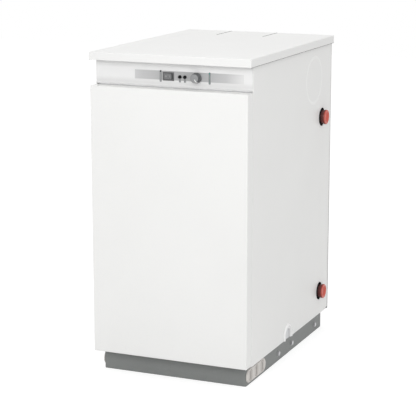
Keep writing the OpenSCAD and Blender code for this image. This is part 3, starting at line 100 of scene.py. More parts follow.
def mixShaders(tree, output, factor, *shaders):
    inputs = {place: made.outputs[0] for place, made in enumerate(shaders, 1)}
    mix = addNode(tree, "ShaderNodeMixShader", {0: factor, **inputs})
    addNode(tree, "ShaderNodeOutput" + output, {"Surface": mix.outputs[0]})


def cameraWhite(tree):  # 1 for the rays that see the backdrop: camera, glossy, transmission
    path = addNode(tree, "ShaderNodeLightPath").outputs
    seen = path["Is Camera Ray"]
    for other in ("Is Glossy Ray", "Is Transmission Ray"):
        seen = addNode(tree, "ShaderNodeMath", {0: seen, 1: path[other]},
                       operation="MAXIMUM").outputs[0]
    return seen


def makeStudio(worldColour, worldStrength, backdropWhite, floorSize, floorColour, floorGlow,
               floorGlowStrength, lamps):
    scene.world = bpy.data.worlds.new("studioWorld")
    tree = emptyTree(scene.world)
    mixShaders(tree, "World", cameraWhite(tree), *[
        addNode(tree, "ShaderNodeBackground", {"Color": colour, "Strength": strength})
        for colour, strength in ((worldColour, worldStrength), ((1, 1, 1), backdropWhite))])

    half = floorSize / 2
    mesh = bpy.data.meshes.new("studioFloor")
    mesh.from_pydata([(-half, -half, 0), (half, -half, 0), (half, half, 0), (-half, half, 0)],
                     [], [(0, 1, 2, 3)])
    floor = bpy.data.objects.new("studioFloor", mesh)
    scene.collection.objects.link(floor)
    mesh.materials.append(bpy.data.materials.new("studioFloorPaper"))
    tree = emptyTree(mesh.materials[0])
    lift = addNode(tree, "ShaderNodeMath", {0: cameraWhite(tree), 1: floorGlow},
                   operation="MULTIPLY").outputs[0]
    mixShaders(tree, "Material", lift,
               addNode(tree, "ShaderNodeBsdfDiffuse", {"Color": (floorColour,) * 3}),
               addNode(tree, "ShaderNodeEmission", {"Strength": floorGlowStrength}))

    for name, place, aim, width, height, watts in lamps:
        light = bpy.data.lights.new(name, "AREA")
        light.shape = "RECTANGLE"
        light.size, light.size_y, light.energy = width, height, watts
        lamp = bpy.data.objects.new(name, light)
        lamp.location = place
        lamp.rotation_euler = (Vector(aim) - Vector(place)).to_track_quat("-Z", "Y").to_euler()
        scene.collection.objects.link(lamp)


makeStudio(**studioSettings)
scene.view_settings.view_transform = "Standard"
print("camera and studio ready")


# finishes
class Finish:  # a Principled material; colour, roughness and bump come from its own nodes
    def __init__(self, name, rough=0.5, metal=0.0, spec=0.5, sheen=0.0):
        self.material = bpy.data.materials.new(name)
        self.tree = emptyTree(self.material)
        self.base = rough
        self.shader = addNode(self.tree, "ShaderNodeBsdfPrincipled", {
            "Metallic": metal, "Roughness": rough, "Specular IOR Level": spec,
            "Sheen Weight": sheen})
        self.add("OutputMaterial", {"Surface": self.shader.outputs["BSDF"]})
        self.coords = self.add("TexCoord")
        self.normal = None

    def add(self, kind, inputs=(), **fields):  # gives the new node's outputs
        return addNode(self.tree, "ShaderNode" + kind, inputs, **fields).outputs

    def feed(self, output, name):
        self.tree.links.new(output, self.shader.inputs[name])

    def stretched(self, scale, source="Object"):
        return self.add("Mapping", {"Scale": scale, "Vector": self.coords[source]})[0]

    def noise(self, scale, detail=3.0, stretch=None, distortion=0.0):
        place = self.stretched(stretch) if stretch else self.coords["Object"]
        return self.add("TexNoise", {"Scale": scale, "Detail": detail, "Vector": place,
                                     "Distortion": distortion})["Fac"]

    def cells(self, scale, feature="F1", output="Distance"):
        return self.add("TexVoronoi", {"Scale": scale, "Vector": self.coords["Object"]},
                        feature=feature)[output]

    def wave(self, scale, stretch, direction, source="Object"):
        return self.add("TexWave", {"Scale": scale, "Vector": self.stretched(stretch, source)},
                        bands_direction=direction)["Fac"]

    def ramp(self, value, stops):
        made = addNode(self.tree, "ShaderNodeValToRGB", {"Fac": value})
        elements = made.color_ramp.elements
        while len(elements) < len(stops):
            elements.new(0.5)
        for element, (place, colour) in zip(elements, stops):
            element.position = place
            element.color = (*colour, 1)
        return made.outputs["Color"]

    def tones(self, value, colour, *stops):  # stops: place on the pattern, factor of the colour
        return self.ramp(value, [(place, shade(colour, factor)) for place, factor in stops])

    def math(self, operation, first, second=0.0):
        return self.add("Math", {0: first, 1: second}, operation=operation)[0]

    def range(self, value, low, high, fromLow=0.0, fromHigh=1.0):
        return self.add("MapRange", {"Value": value, "From Min": fromLow, "From Max": fromHigh,
                                     "To Min": low, "To Max": high})["Result"]

    def blend(self, factor, first, second, mode="MIX"):
        return self.add("Mix", {0: factor, 6: first, 7: second}, data_type="RGBA",
                        blend_type=mode)[2]

    def times(self, first, second):
        return self.blend(1.0, first, second, "MULTIPLY")

    def axis(self, letter):
        return self.add("SeparateXYZ", {0: self.coords["Object"]})[letter]

    def patches(self, body, scale, detail, most, colour):  # up to that share of the colour
        return self.blend(self.range(self.noise(scale, detail), 0.0, most), body, colour)

    def paint(self, colour, rough=None, low=0.0, high=0.0):  # rough: pattern, then its spread
        self.feed(colour, "Base Color")
        if rough is not None:
            self.feed(self.range(rough, self.base + low, self.base + high), "Roughness")

    def bump(self, value, depth, strength=1.0):  # depth in millimetres
        inputs = {"Distance": depth * mm, "Strength": strength, "Height": value}
        if self.normal is not None:
            inputs["Normal"] = self.normal
        self.normal = self.add("Bump", inputs)["Normal"]
        self.feed(self.normal, "Normal")
        return self.material


def shade(colour, factor):
    return tuple(min(1, channel * factor) for channel in colour)


def powderCoat(name, colour, rough=0.38, peel=0.03, dirt=0.02, seams=None):
    made = Finish(name, rough)
    cloud = made.tones(made.noise(5, 4), colour, (0.3, 1 - dirt), (0.7, 1))
    speck = made.ramp(made.noise(900, 2), [(0.24, shade(colour, 0.93)), (0.32, (1, 1, 1))])
    coat = made.times(cloud, speck)
    if seams:  # painted shade: a dark line in the seam gaps along both sides of the flue plate
        off = made.math("SUBTRACT", made.axis("X"), seams["centre"] * mm)
        off = made.math("SUBTRACT", made.math("ABSOLUTE", off), seams["half"] * mm)
        near = made.math("LESS_THAN", made.math("ABSOLUTE", off), seams["width"] / 2 * mm)
        behind = made.math("GREATER_THAN", made.axis("Y"), seams["start"] * mm)
        coat = made.blend(made.math("MULTIPLY", near, behind), coat, seams["colour"])
    made.paint(coat, made.noise(22, 3), -0.05, 0.06)
    made.bump(made.noise(650, 2), peel)
    return made.bump(made.noise(9, 1), 0.35, 0.25)


def galvanised(name, colour):
    made = Finish(name, 0.36, 0.9)
    grey = made.add("RGBToBW", {0: made.cells(190, "F1", "Color")})[0]
    flakes = made.tones(grey, colour, (0.1, 0.86), (0.9, 1.08))
    made.paint(made.patches(flakes, 14, 4, 0.35, shade(colour, 0.78)), grey, -0.08, 0.14)
    return made.bump(made.noise(420, 3), 0.02)


def zincPlate(name, colour, rough=0.28):
    made = Finish(name, rough, 1.0)
    tint = made.tones(made.noise(120, 3), colour, (0.35, 0.86), (0.5, 1), (0.68, 1.08))
    made.paint(tint, made.noise(260, 3), -0.08, 0.14)
    return made.bump(made.noise(700, 2), 0.02)


def brushedMetal(name, colour, rough=0.34, stretch=(6, 400, 400), metal=1.0, stain=0.12):
    made = Finish(name, rough, metal)
    lines = made.noise(1.0, 4, stretch)
    body = made.tones(lines, colour, (0.3, 0.88), (0.7, 1.06))
    made.paint(made.patches(body, 9, 4, stain, shade(colour, 0.55)), lines, -0.07, 0.1)
    return made.bump(lines, 0.015)


def castMetal(name, colour, rough=0.5, metal=0.85, grain=330, depth=0.09):
    made = Finish(name, rough, metal)
    skin = made.noise(grain, 4)
    body = made.tones(skin, colour, (0.3, 0.82), (0.7, 1))
    made.paint(made.patches(body, 24, 5, 0.5, shade(colour, 0.68)), skin, -0.06, 0.16)
    return made.bump(skin, depth)


def mouldedPlastic(name, colour, rough=0.42, grain=1100, depth=0.03, spec=0.5):
    made = Finish(name, rough, 0.0, spec)
    cloud = made.noise(30, 3)
    made.paint(made.tones(cloud, colour, (0.3, 0.9), (0.72, 1.05)), cloud, -0.05, 0.08)
    return made.bump(made.noise(grain, 2), depth)


def plugPlastic(name, colour, near, far):  # painted shade: darker towards the panel that it plugs into
    made = Finish(name, 0.3)
    depth = made.range(made.math("ABSOLUTE", made.axis("X")), 0.0, 1.0, near * mm, far * mm)
    tone = made.tones(depth, colour, (0.0, 0.12), (0.5, 0.4), (1.0, 1))
    cloud = made.noise(30, 3)
    made.paint(made.times(tone, made.tones(cloud, (1, 1, 1), (0.3, 0.9), (0.72, 1))), cloud,
               -0.04, 0.08)
    return made.bump(made.noise(600, 2), 0.05)


def knockoutPlate(name, y, z, pitch, low, high, inner):  # painted shade in each knock-out's recess
    made = Finish(name, 0.46)
    along = made.math("SUBTRACT", made.axis("Y"), y * mm)
    turns = made.math("MULTIPLY", along, math.tau / (pitch * mm))
    centred = made.range(made.math("COSINE", turns), 0.0, 1.0, 0.3, 1.0)
    height = made.math("ABSOLUTE", made.math("SUBTRACT", made.axis("Z"), z * mm))
    shadedInside = made.math("MULTIPLY", centred, made.range(height, 1.0, 0.0, 0.009, 0.0155))
    streak = made.noise(1.0, 3, (60, 420, 40))
    body = made.ramp(streak, [(0.3, low), (0.7, high)])
    made.paint(made.blend(shadedInside, body, inner), streak, -0.06, 0.1)
    return made.bump(made.noise(700, 2), 0.05)


def heatStained(name, colour, stain):
    made = Finish(name, 0.72, 0.25)
    clouds = made.noise(12, 6, distortion=0.6)
    scale = made.noise(190, 4)
    body = made.ramp(clouds, [(0.34, shade(colour, 0.62)), (0.5, colour), (0.66, stain)])
    made.paint(made.blend(made.range(scale, 0.0, 0.5), body, shade(stain, 0.5)), scale,
               -0.1, 0.16)
    return made.bump(scale, 0.12)


def platePaint(name, colour, scuff):
    made = Finish(name)
    brushed = made.noise(1.0, 4, (40, 40, 220))
    scuffs = made.range(made.noise(70, 6), 0.0, 1.0, 0.66, 0.74)
    body = made.tones(brushed, colour, (0.25, 0.8), (0.75, 1.15))
    made.paint(made.blend(scuffs, body, scuff), brushed, -0.08, 0.14)
    return made.bump(brushed, 0.05)


def foilFace(name, colour):
    made = Finish(name, 0.3, 0.85)
    crinkle = made.cells(34, "DISTANCE_TO_EDGE")
    fine = made.noise(140, 5, distortion=0.8)
    threads = made.math("MAXIMUM", made.wave(26, (1, 1, 0.0001), "X"),
                        made.wave(26, (0.0001, 1, 1), "Z"))
    scrim = made.range(threads, 0.0, 1.0, 0.965, 1.0)
    body = made.tones(fine, colour, (0.3, 0.72), (0.7, 1.15))
    made.paint(made.blend(scrim, body, shade(colour, 1.3)), fine, -0.08, 0.16)
    made.bump(made.range(crinkle, 0.0, 1.0, 0.0, 0.3), 1.1)
    made.bump(fine, 0.4)
    return made.bump(scrim, 0.12)


def foam(name, colour):
    made = Finish(name, 0.92, 0.0, 0.2, 0.3)
    pores = made.cells(620)
    body = made.tones(pores, colour, (0.0, 0.45), (0.4, 1))
    made.paint(made.patches(body, 16, 4, 0.3, shade(colour, 0.7)))
    return made.bump(pores, 0.4)


def braid(name, colour, dark, rough, metal, around, along, depth):
    made = Finish(name, rough, metal)
    weave = made.math("MAXIMUM", *[made.wave(1.0, (around, way * along, 1), "DIAGONAL", "UV")
                                   for way in (1, -1)])
    made.paint(made.ramp(weave, [(0.45, dark), (0.85, colour)]), weave, 0.15, -0.05)
    return made.bump(weave, depth)


def rubberSkin(name, colour, rough=0.62):
    made = Finish(name, rough)
    dust = made.noise(60, 5)
    made.paint(made.tones(dust, colour, (0.35, 1), (0.75, 1.9)), dust, -0.08, 0.16)
    return made.bump(made.noise(800, 3), 0.05)


def fadingShadeFinish(name, low, high, foot, head):  # painted shade: dark at the foot, paler towards the top
    made = Finish(name, 0.6)
    tall = made.range(made.axis("Z"), 0.0, 1.0, foot * mm, head * mm)
    dust = made.tones(made.noise(60, 5), (1, 1, 1), (0.35, 0.9), (0.75, 1))
    made.paint(made.times(made.blend(tall, low, high), dust))
    return made.bump(made.noise(800, 3), 0.05)


def controlStrip(name, left, right, foot, margin, stops):  # greys that run along the strip
    made = Finish(name, 0.42)
    run = made.range(made.axis("X"), 0.0, 1.0, left * mm, right * mm)
    band = made.range(made.axis("Z"), 0.0, 1.0, (foot - 0.4) * mm, (foot + 0.4) * mm)
    fade = made.blend(band, margin, made.ramp(run, stops))
    lines = made.noise(1.0, 3, (5, 900, 900))
    made.paint(made.times(fade, made.tones(lines, (1, 1, 1), (0.2, 0.95), (0.8, 1))), lines,
               -0.08, 0.08)
    return made.bump(lines, 0.01)


def paleFascia(name, colour, low, edge, rise):  # painted shade: greyer in a band above the foot, where it turns under; painted light at the very foot
    made = Finish(name, 0.42)
    tall = made.range(made.axis("Z"), 0.0, 1.0, edge * mm, (edge + rise) * mm)
    cloud = made.noise(6, 3)
    # low: the paler foot, painted light against the gap's shade; the grey band above it is
    # painted shade
    body = made.ramp(tall, [(0.0, low)] + [(place, shade(colour, factor)) for place, factor in (
        (0.3, 0.95), (0.52, 0.87), (0.8, 0.95), (1.0, 1))])
    made.paint(made.blend(made.range(cloud, 0.0, 0.06), body, shade(colour, 0.9)), cloud,
               -0.06, 0.08)
    return made.bump(made.noise(650, 2), 0.03)


# painted shade in the seam gaps beside the flue plate
seamShadePaint = {
    "centre": -17, "half": 70.4, "width": 3.8, "start": 205.5, "colour": (0.06, 0.06, 0.06),
}
knockoutShadePaint = {
    "y": -224, "z": 25, "pitch": 42.16,
    "low": (0.66, 0.63, 0.60), "high": (0.80, 0.77, 0.74), "inner": (0.36, 0.33, 0.31),
}
stripPaint = {
    "left": -107, "right": 195, "foot": 793.2, "margin": (0.82, 0.82, 0.82),
    "stops": [(0.0, (0.64, 0.64, 0.645)), (0.07, (0.57, 0.57, 0.575)),
              (0.22, (0.50, 0.50, 0.505)), (0.55, (0.43, 0.43, 0.435)),
              (0.72, (0.50, 0.505, 0.51)), (0.84, (0.58, 0.58, 0.585)),
              (0.99, (0.80, 0.80, 0.80))],
}
finishTable = {  # each finish by its maker; each row holds the name and the rest of what it takes
    powderCoat: {
        "sheet_white": ["whitePowderCoat", (0.90, 0.90, 0.89)],
        # painted highlight: paler than the panels, for the raised rims
        "rim": ["paleRimCoat", (0.95, 0.95, 0.94)],
        "plinth_paint": ["greyPlinthPaint", (0.235, 0.245, 0.24), 0.5, 0.05, 0.06],
        "lidCoat": ["lidPowderCoat", (0.88, 0.88, 0.872), 0.38, 0.03, 0.02, seamShadePaint]},
    paleFascia: {"sheet_grey": ["paleFasciaPaint", (0.865,) * 3, (0.98,) * 3, 772, 24]},
    controlStrip: {"strip": ["silverFadeStrip", *stripPaint.values()]},
    knockoutPlate: {"moulding_pale": ["paleMoulding", *knockoutShadePaint.values()]},
    galvanised: {"galvanised": ["galvanisedSheet", (0.62, 0.63, 0.64)]},
    zincPlate: {
        "zinc": ["zincPlate", (0.72, 0.72, 0.70)],
        "bolt": ["dullBolt", (0.54, 0.54, 0.55), 0.4]},
    foilFace: {"pad": ["foilFacing", (0.66, 0.67, 0.68)]},
    foam: {"foam": ["acousticFoam", (0.13, 0.135, 0.14)]},
    platePaint: {"boiler_plate": ["boilerPaint", (0.05, 0.06, 0.075), (0.16, 0.12, 0.10)]},
    heatStained: {"firebox": ["fireboxSteel", (0.16, 0.13, 0.115), (0.26, 0.12, 0.06)]},
    plugPlastic: {"plugShade": ["shadedPlug", (0.62, 0.11, 0.08), 228, 234.6]},
    fadingShadeFinish: {"edging": ["gradedEdging", (0.05, 0.05, 0.05), (0.72, 0.72, 0.71), 80, 800]},
    rubberSkin: {
        "magnet": ["magnetCase", (0.03, 0.03, 0.032)],
        "cable_sheath": ["cableSheath", (0.025, 0.025, 0.027)],
        # dark rubber, also used as painted shade in seam gaps and under the lid's skirt
        "seal": ["darkSeal", (0.09, 0.09, 0.09), 0.7]},
    braid: {
        "rope": ["glassRope", (0.78, 0.75, 0.66), (0.42, 0.39, 0.32), 0.85, 0.0, 9, 144, 0.5],
        "hose": ["steelBraid", (0.66, 0.67, 0.68), (0.12, 0.12, 0.13), 0.32, 0.9, 12, 144, 0.35]},
    castMetal: {
        "cast": ["castAluminium", (0.56, 0.57, 0.58)],
        "motor_paint": ["motorPaint", (0.06, 0.075, 0.10), 0.45, 0.1, 500, 0.05],
        "weld": ["weldMetal", (0.16, 0.16, 0.17), 0.42, 0.8, 260, 0.1]},
    brushedMetal: {
        "copper": ["copperTube", (0.80, 0.42, 0.26), 0.3, (200, 200, 200)],
        "pipe_steel": ["blackPipeSteel", (0.10, 0.10, 0.105), 0.45, (120, 300, 300), 0.9],
        "brass": ["machinedBrass", (0.76, 0.56, 0.24), 0.26, (260, 260, 30), 1.0, 0.3],
        "fan_metal": ["pressedFanSteel", (0.68, 0.69, 0.70), 0.32, (30, 260, 260)],
        "strap": ["strapSteel", (0.58, 0.59, 0.60), 0.3, (20, 20, 600)]},
    mouldedPlastic: {
        "ink": ["greyInk", (0.30, 0.31, 0.32), 0.5],
        "black_plastic": ["blackMoulding", (0.045, 0.046, 0.05), 0.45, 500, 0.08],
        "black_gloss": ["blackGlossMoulding", (0.008, 0.008, 0.009), 0.3, 900, 0.01, 0.12],
        "knob_plastic": ["silverKnob", (0.29, 0.295, 0.30), 0.35, 800, 0.02],
        # the knob's grey with painted shade, for its side
        "knobSide": ["darkKnobSide", (0.15, 0.155, 0.16), 0.4, 800, 0.02],
        "pointer": ["whitePointer", (0.88, 0.88, 0.87), 0.35, 800, 0.01],
        "plug_red": ["redPlug", (0.66, 0.12, 0.085), 0.3, 600, 0.05],
        # the plug's red with painted shade, for the collar by the panel
        "collar": ["darkRedCollar", (0.10, 0.016, 0.014), 0.5, 600, 0.06],
        "red_plastic": ["redGlossMoulding", (0.62, 0.03, 0.02), 0.22, 700, 0.01],
        "mouldingWhite": ["whiteMoulding", (0.97, 0.97, 0.965), 0.2, 700, 0.01, 0.8],
        "knockout": ["knockoutGroove", (0.33, 0.28, 0.24), 0.6, 700, 0.03],
        "sealPale": ["paleSeal", (0.86, 0.86, 0.86), 0.7, 500, 0.05],
        "pillFace": ["greyPrint", (0.34, 0.345, 0.35), 0.45, 900, 0.005],
        "pillGreen": ["greenPrint", (0.22, 0.275, 0.258), 0.45, 900, 0.005],
        "frame": ["greyBezel", (0.12, 0.122, 0.125), 0.4, 600, 0.04],
        "rocker": ["rockerMoulding", (0.20, 0.203, 0.207), 0.4, 700, 0.02, 0.3],
        "rockerPrint": ["rockerPrint", (0.40, 0.405, 0.41), 0.4, 900, 0.005],
        "lensDark": ["smokedLens", (0.03, 0.035, 0.035), 0.12, 400, 0.01, 0.8],
        "lensGreen": ["greenLens", (0.06, 0.30, 0.25), 0.12, 400, 0.01, 0.8]},
}
finishes = {key: maker(*row) for maker, rows in finishTable.items()
            for key, row in rows.items()}
for node, slot in slotOf.items():
    nodes[node].data.materials.clear()
    nodes[node].data.materials.append(finishes[slot])
print("finishes made:", len(finishes))


# mesh tools; lengths are in millimetres until toMetres or toward() scales them
def pieceFrom(bm, name, material, limit=34, place=None, fix=True):
    if place is not None:
        bmesh.ops.transform(bm, matrix=place, verts=bm.verts)
    if fix:
        bmesh.ops.recalc_face_normals(bm, faces=bm.faces)
    for face in bm.faces:
        face.smooth = True
    for edge in bm.edges:
        edge.smooth = not (len(edge.link_faces) == 2
                           and edge.calc_face_angle(0) > math.radians(limit))
    mesh = bpy.data.meshes.new(name)
    bm.to_mesh(mesh)
    bm.free()
    mesh.materials.append(material)
    piece = bpy.data.objects.new(name, mesh)
    scene.collection.objects.link(piece)
    return piece


def settle(piece, body, replaced=()):
    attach(piece, body)
    if replaced:
        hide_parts(*replaced)
    return piece


def fit(bm, name, finish, body, replaced=(), place=toMetres, limit=36):
    # the mesh becomes a finished piece on its body
    return settle(pieceFrom(bm, name, finishes[finish], limit, place), body, replaced)


def toward(place, axis, scale=mm):  # local Z turned to axis, then moved; millimetres
    turn = Vector((0, 0, 1)).rotation_difference(Vector(axis)).to_matrix().to_4x4()
    return Matrix.Translation(Vector(place) * scale) @ turn @ Matrix.Scale(scale, 4)


def circle(radius, steps):
    return [(radius * math.cos(math.tau * k / steps), radius * math.sin(math.tau * k / steps))
            for k in range(steps)]


def arc(degrees, across, rise):
    return [(across * math.cos(math.radians(a)), rise * math.sin(math.radians(a)))
            for a in degrees]


def lathe(profile, steps=48, bm=None, place=None):  # profile of (radius, height)
    bm = bmesh.new() if bm is None else bm
    place = place or Matrix()
    rings = [[bm.verts.new(place @ Vector((x, y, height)))
              for x, y in (circle(radius, steps) if radius > 1e-6 else [(0, 0)])]
             for radius, height in profile]
    for low, high in zip(rings, rings[1:]):
        for i in range(steps):
            j = (i + 1) % steps
            corners = dict.fromkeys([low[i % len(low)], low[j % len(low)],
                                     high[j % len(high)], high[i % len(high)]])
            if len(corners) > 2:
                bm.faces.new(list(corners))
    return bm


def slab(low, high, soften=0.0, bm=None, mirrored=False):  # box between two corners
    if mirrored:
        slab((-high[0], *low[1:]), (-low[0], *high[1:]), soften, bm)
    bm = bmesh.new() if bm is None else bm
    made = bmesh.ops.create_cube(bm, size=1)["verts"]
    low, high = Vector(low), Vector(high)
    for vert in made:
        vert.co = (low + high) / 2 + vert.co * (high - low)
    if soften:
        edges = list({edge for vert in made for edge in vert.link_edges})
        bmesh.ops.bevel(bm, geom=edges, offset=soften, segments=3, profile=0.5, affect="EDGES")
    return bm


def bridge(bm, rings, closed=False):  # walls between rings of vertices, capped where it ends
    walls = []
    for a, b in zip(rings, rings[1:] + rings[:1] if closed else rings[1:]):
        for k in range(len(a)):
            j = (k + 1) % len(a)
            walls.append(bm.faces.new((a[k], a[j], b[j], b[k])))
    if not closed:
        bm.faces.new(rings[0][::-1])
        bm.faces.new(rings[-1])
    return walls


def mergedCopy(node):
    bm = bmesh.new()
    bm.from_mesh(nodes[node].data)
    bmesh.ops.remove_doubles(bm, verts=bm.verts, dist=1e-6)
    return bm


def dressed(node, soften, shortest=6.0, finish=None, flat=0.4, sharp=40, narrow=2.0):
    # a merged copy of a CAD node: flats joined, long edges rounded, curved walls smooth
    bm = mergedCopy(node)
    bmesh.ops.dissolve_limit(bm, angle_limit=math.radians(flat), verts=bm.verts,
                             edges=bm.edges)
    if soften:
        chosen = [edge for edge in bm.edges
                  if len(edge.link_faces) == 2 and edge.calc_face_angle(0) > math.radians(sharp)
                  and edge.calc_length() > shortest * mm
                  and min(face.calc_area() for face in edge.link_faces) > (narrow * mm) ** 2]
        bmesh.ops.bevel(bm, geom=chosen, offset=soften * mm, segments=2, profile=0.5,
                        affect="EDGES", clamp_overlap=True)
    first, *rest = node.split("_")
    name = first + "".join(part.capitalize() for part in rest) + "Dressed"
    piece = pieceFrom(bm, name, finishes[finish or slotOf[node]], 36, fix=False)
    piece.modifiers.new("faceWeighted", "WEIGHTED_NORMAL").keep_sharp = True
    settle(piece, bodyOf[node], [node])


def curvePoint(p, q, r, s, t):
    return (2 * q + (r - p) * t + (2 * p - 5 * q + 4 * r - s) * t * t
            + (3 * q - p - 3 * r + s) * t * t * t) / 2


def smoothRoute(points, steps=8):
    last = len(points) - 1
    made = [curvePoint(points[max(i - 1, 0)], points[i], points[i + 1], points[min(i + 2, last)],
                       k / steps) for i in range(last) for k in range(steps)]
    return made + [points[last]]


def heldRoute(start, startWay, middle, endWay, end, lead=9):  # leaves each end straight
    start, startWay, end, endWay = (Vector(v) for v in (start, startWay, end, endWay))
    return ([start + startWay * lead * i for i in range(3)] + [Vector(v) for v in middle]
            + [end + endWay * lead * i for i in (2, 1, 0)])


def easedLine(line, passes, step=3.0, held=6.0):  # evens out the bends between straight ends
    run = [0.0]
    for a, b in zip(line, line[1:]):
        run.append(run[-1] + (b - a).length)
    count, k, made = round(run[-1] / step), 0, []
    for i in range(count + 1):
        place = run[-1] * i / count
        while k < len(line) - 2 and run[k + 1] < place:
            k += 1
        made.append(line[k].lerp(line[k + 1], (place - run[k]) / (run[k + 1] - run[k])))
    free = range(round(held / step) + 1, count - round(held / step))
    for _ in range(passes):
        made = [(made[i - 1] + 2 * made[i] + made[i + 1]) / 4 if i in free else made[i]
                for i in range(count + 1)]
    return made


def tube(points, radius, sides=20, closed=False, bm=None):  # its UV runs round and along it
    bm = bmesh.new() if bm is None else bm
    uv = bm.loops.layers.uv.get("along") or bm.loops.layers.uv.new("along")
    count = len(points)
    rings, run = [], [0.0]
    side = Vector((0.31, 0.93, 0.2))  # along no line's first way
    for i, point in enumerate(points):
        before = points[i - 1] if closed or i else points[0]
        after = points[(i + 1) % count] if closed or i < count - 1 else points[-1]
        way = (after - before).normalized()
        side = (side - way * side.dot(way)).normalized()
        other = way.cross(side)
        rings.append([bm.verts.new(point + x * side + y * other)
                      for x, y in circle(radius, sides)])
        run.append(run[-1] + (points[(i + 1) % count] - point).length)
    for index, face in enumerate(bridge(bm, rings, closed)):
        i, k = divmod(index, sides)
        for loop, (du, dv) in zip(face.loops, ((0, 0), (1, 0), (1, 1), (0, 1))):
            loop[uv].uv = ((k + du) / sides, run[i + dv] * mm)
    return bm


def pillPoints(x, z, width, height, y):  # outline of a slot with round ends, seen along Y
    radius, straight = width / 2, height / 2 - width / 2
    return [Vector((x + dx, y, z + up * straight + dz)) for up, first in ((1, 0), (-1, 180))
            for dx, dz in arc(range(first, first + 181, 15), radius, radius)]


def frameTube(x, low, high, y, corner, step, radius, sides, lump=0.0, lumpScale=1.0):
    # round an upright rectangle with round corners
    middles = ((x - corner, high - corner), (corner - x, high - corner),
               (corner - x, low + corner), (x - corner, low + corner))
    outline = [Vector((cx + dx, y, cz + dz)) for turn, (cx, cz) in enumerate(middles)
               for dx, dz in arc(range(90 * turn, 90 * turn + 91, 18), corner, corner)]
    points = []
    for a, b in zip(outline, outline[1:] + outline[:1]):
        parts = max(1, round((b - a).length / step))
        points += [a.lerp(b, k / parts) for k in range(parts)]
    bm = tube(points, radius, sides, True)
    bm.normal_update()
    for vert in bm.verts:
        vert.co += vert.normal * lump * noise.noise(vert.co * lumpScale)
    return bm


# repeating parts by Geometry Nodes
def partsTree(name, ring):
    tree = bpy.data.node_groups.new(name, "GeometryNodeTree")
    for socket, kind in (("Geometry", "Geometry"), ("Part", "Object"), ("Finish", "Material"),
                         ("Count", "Int"), ("Radius", "Float")):
        tree.interface.new_socket(socket, in_out="INPUT", socket_type="NodeSocket" + kind)
    tree.interface.new_socket("Geometry", in_out="OUTPUT", socket_type="NodeSocketGeometry")
    start = addNode(tree, "NodeGroupInput").outputs

    def add(kind, inputs=(), output=0, **fields):
        return addNode(tree, kind, inputs, **fields).outputs[output]

    if ring:  # parts set round a circle, each turned to face outwards
        points = add("GeometryNodeMeshCircle", {"Vertices": start["Count"],
                                                "Radius": start["Radius"]}, "Mesh")
        step = add("ShaderNodeMath", {0: math.tau, 1: start["Count"]}, operation="DIVIDE")
        angle = add("ShaderNodeMath", {0: add("GeometryNodeInputIndex"), 1: step},
                    operation="MULTIPLY")
        way = add("ShaderNodeCombineXYZ", {"Z": angle})
    else:  # parts set on the base mesh's points, turned by its own attribute
        points = start["Geometry"]
        way = add("GeometryNodeInputNamedAttribute", {"Name": "turn"}, "Attribute",
                  data_type="FLOAT_VECTOR")
    part = add("GeometryNodeObjectInfo", {"Object": start["Part"], "As Instance": True},
               "Geometry")
    placed = add("GeometryNodeInstanceOnPoints", {
        "Points": points, "Instance": part,
        "Rotation": add("FunctionNodeEulerToRotation", {0: way})})
    painted = add("GeometryNodeSetMaterial", {
        "Geometry": add("GeometryNodeRealizeInstances", {0: placed}),
        "Material": start["Finish"]})
    addNode(tree, "NodeGroupOutput", {0: painted})
    return tree


pointTree = partsTree("partsOnPoints", False)
ringTree = partsTree("partsInRing", True)


def evaluated(piece):
    bpy.context.view_layer.update()
    return bpy.data.meshes.new_from_object(
        piece.evaluated_get(bpy.context.evaluated_depsgraph_get()))


def grow(name, tree, base, bm, finish, limit=34, **values):  # values: the tree's inputs
    part = pieceFrom(bm, name + "Part", finishes["zinc"], limit, toMetres)
    values.update(Part=part, Finish=finishes[finish])
    grown = bpy.data.objects.new(name, base)
    scene.collection.objects.link(grown)
    modifier = grown.modifiers.new("grow", "NODES")
    modifier.node_group = tree
    for item in tree.interface.items_tree:
        if item.in_out == "INPUT" and item.name in values:
            modifier[item.identifier] = values[item.name]
    mesh = evaluated(grown)
    grown.modifiers.remove(modifier)
    mesh.name = name
    grown.data = mesh
    bpy.data.objects.remove(part)
    return grown


def partsAt(name, bm, places, replaced=(), finish="zinc"):
    # places: point, and the axis that the part's own Z is turned to
    base = bpy.data.meshes.new(name + "Points")
    base.from_pydata([Vector(point) * mm for point, axis in places], [], [])
    turns = base.attributes.new("turn", "FLOAT_VECTOR", "POINT")
    for i, (point, axis) in enumerate(places):
        turns.data[i].vector = Vector((0, 0, 1)).rotation_difference(Vector(axis)).to_euler()
    settle(grow(name, pointTree, base, bm, finish), "casing", replaced)


def partsRound(name, bm, count, radius, finish, place, body, limit=34):
    grown = grow(name, ringTree, bpy.data.meshes.new(name + "Base"), bm, finish, limit,
                 Count=count, Radius=radius * mm)
    grown.data.transform(place @ Matrix.Scale(1 / mm, 4))
    settle(grown, body)


def hexHead(across, height, chamfer=0.8, washer=(0, 0), shank=None, edge=0.2, dish=0.25,
            tip=0.6):
    (wide, base), half = washer, across / 2
    bm = bmesh.new()
    if base:
        lathe([(0, 0), (wide / 2 - edge, 0), (wide / 2, edge), (wide / 2, base - edge),
               (wide / 2 - edge, base), (0, base)], 32, bm)
    top = base + height
    lathe([(0, base), (half, base), (half, top - chamfer), (half - chamfer, top),
           (across / 3, top), (across / 3 - 0.3, top - dish), (0, top - dish)], 6, bm)
    if shank:
        radius, end = shank[0] / 2, base + shank[1]
        lathe([(0, base), (radius, base), (radius, end - tip), (radius - tip, end), (0, end)],
              20, bm)
    return bm


def domeHead(radius, rim, rise):
    dome = [(r, rim + h) for r, h in arc(range(0, 73, 18), radius, rise - rim)]
    return lathe([(0, 0), (radius, 0)] + dome + [(0, rise)], 24)


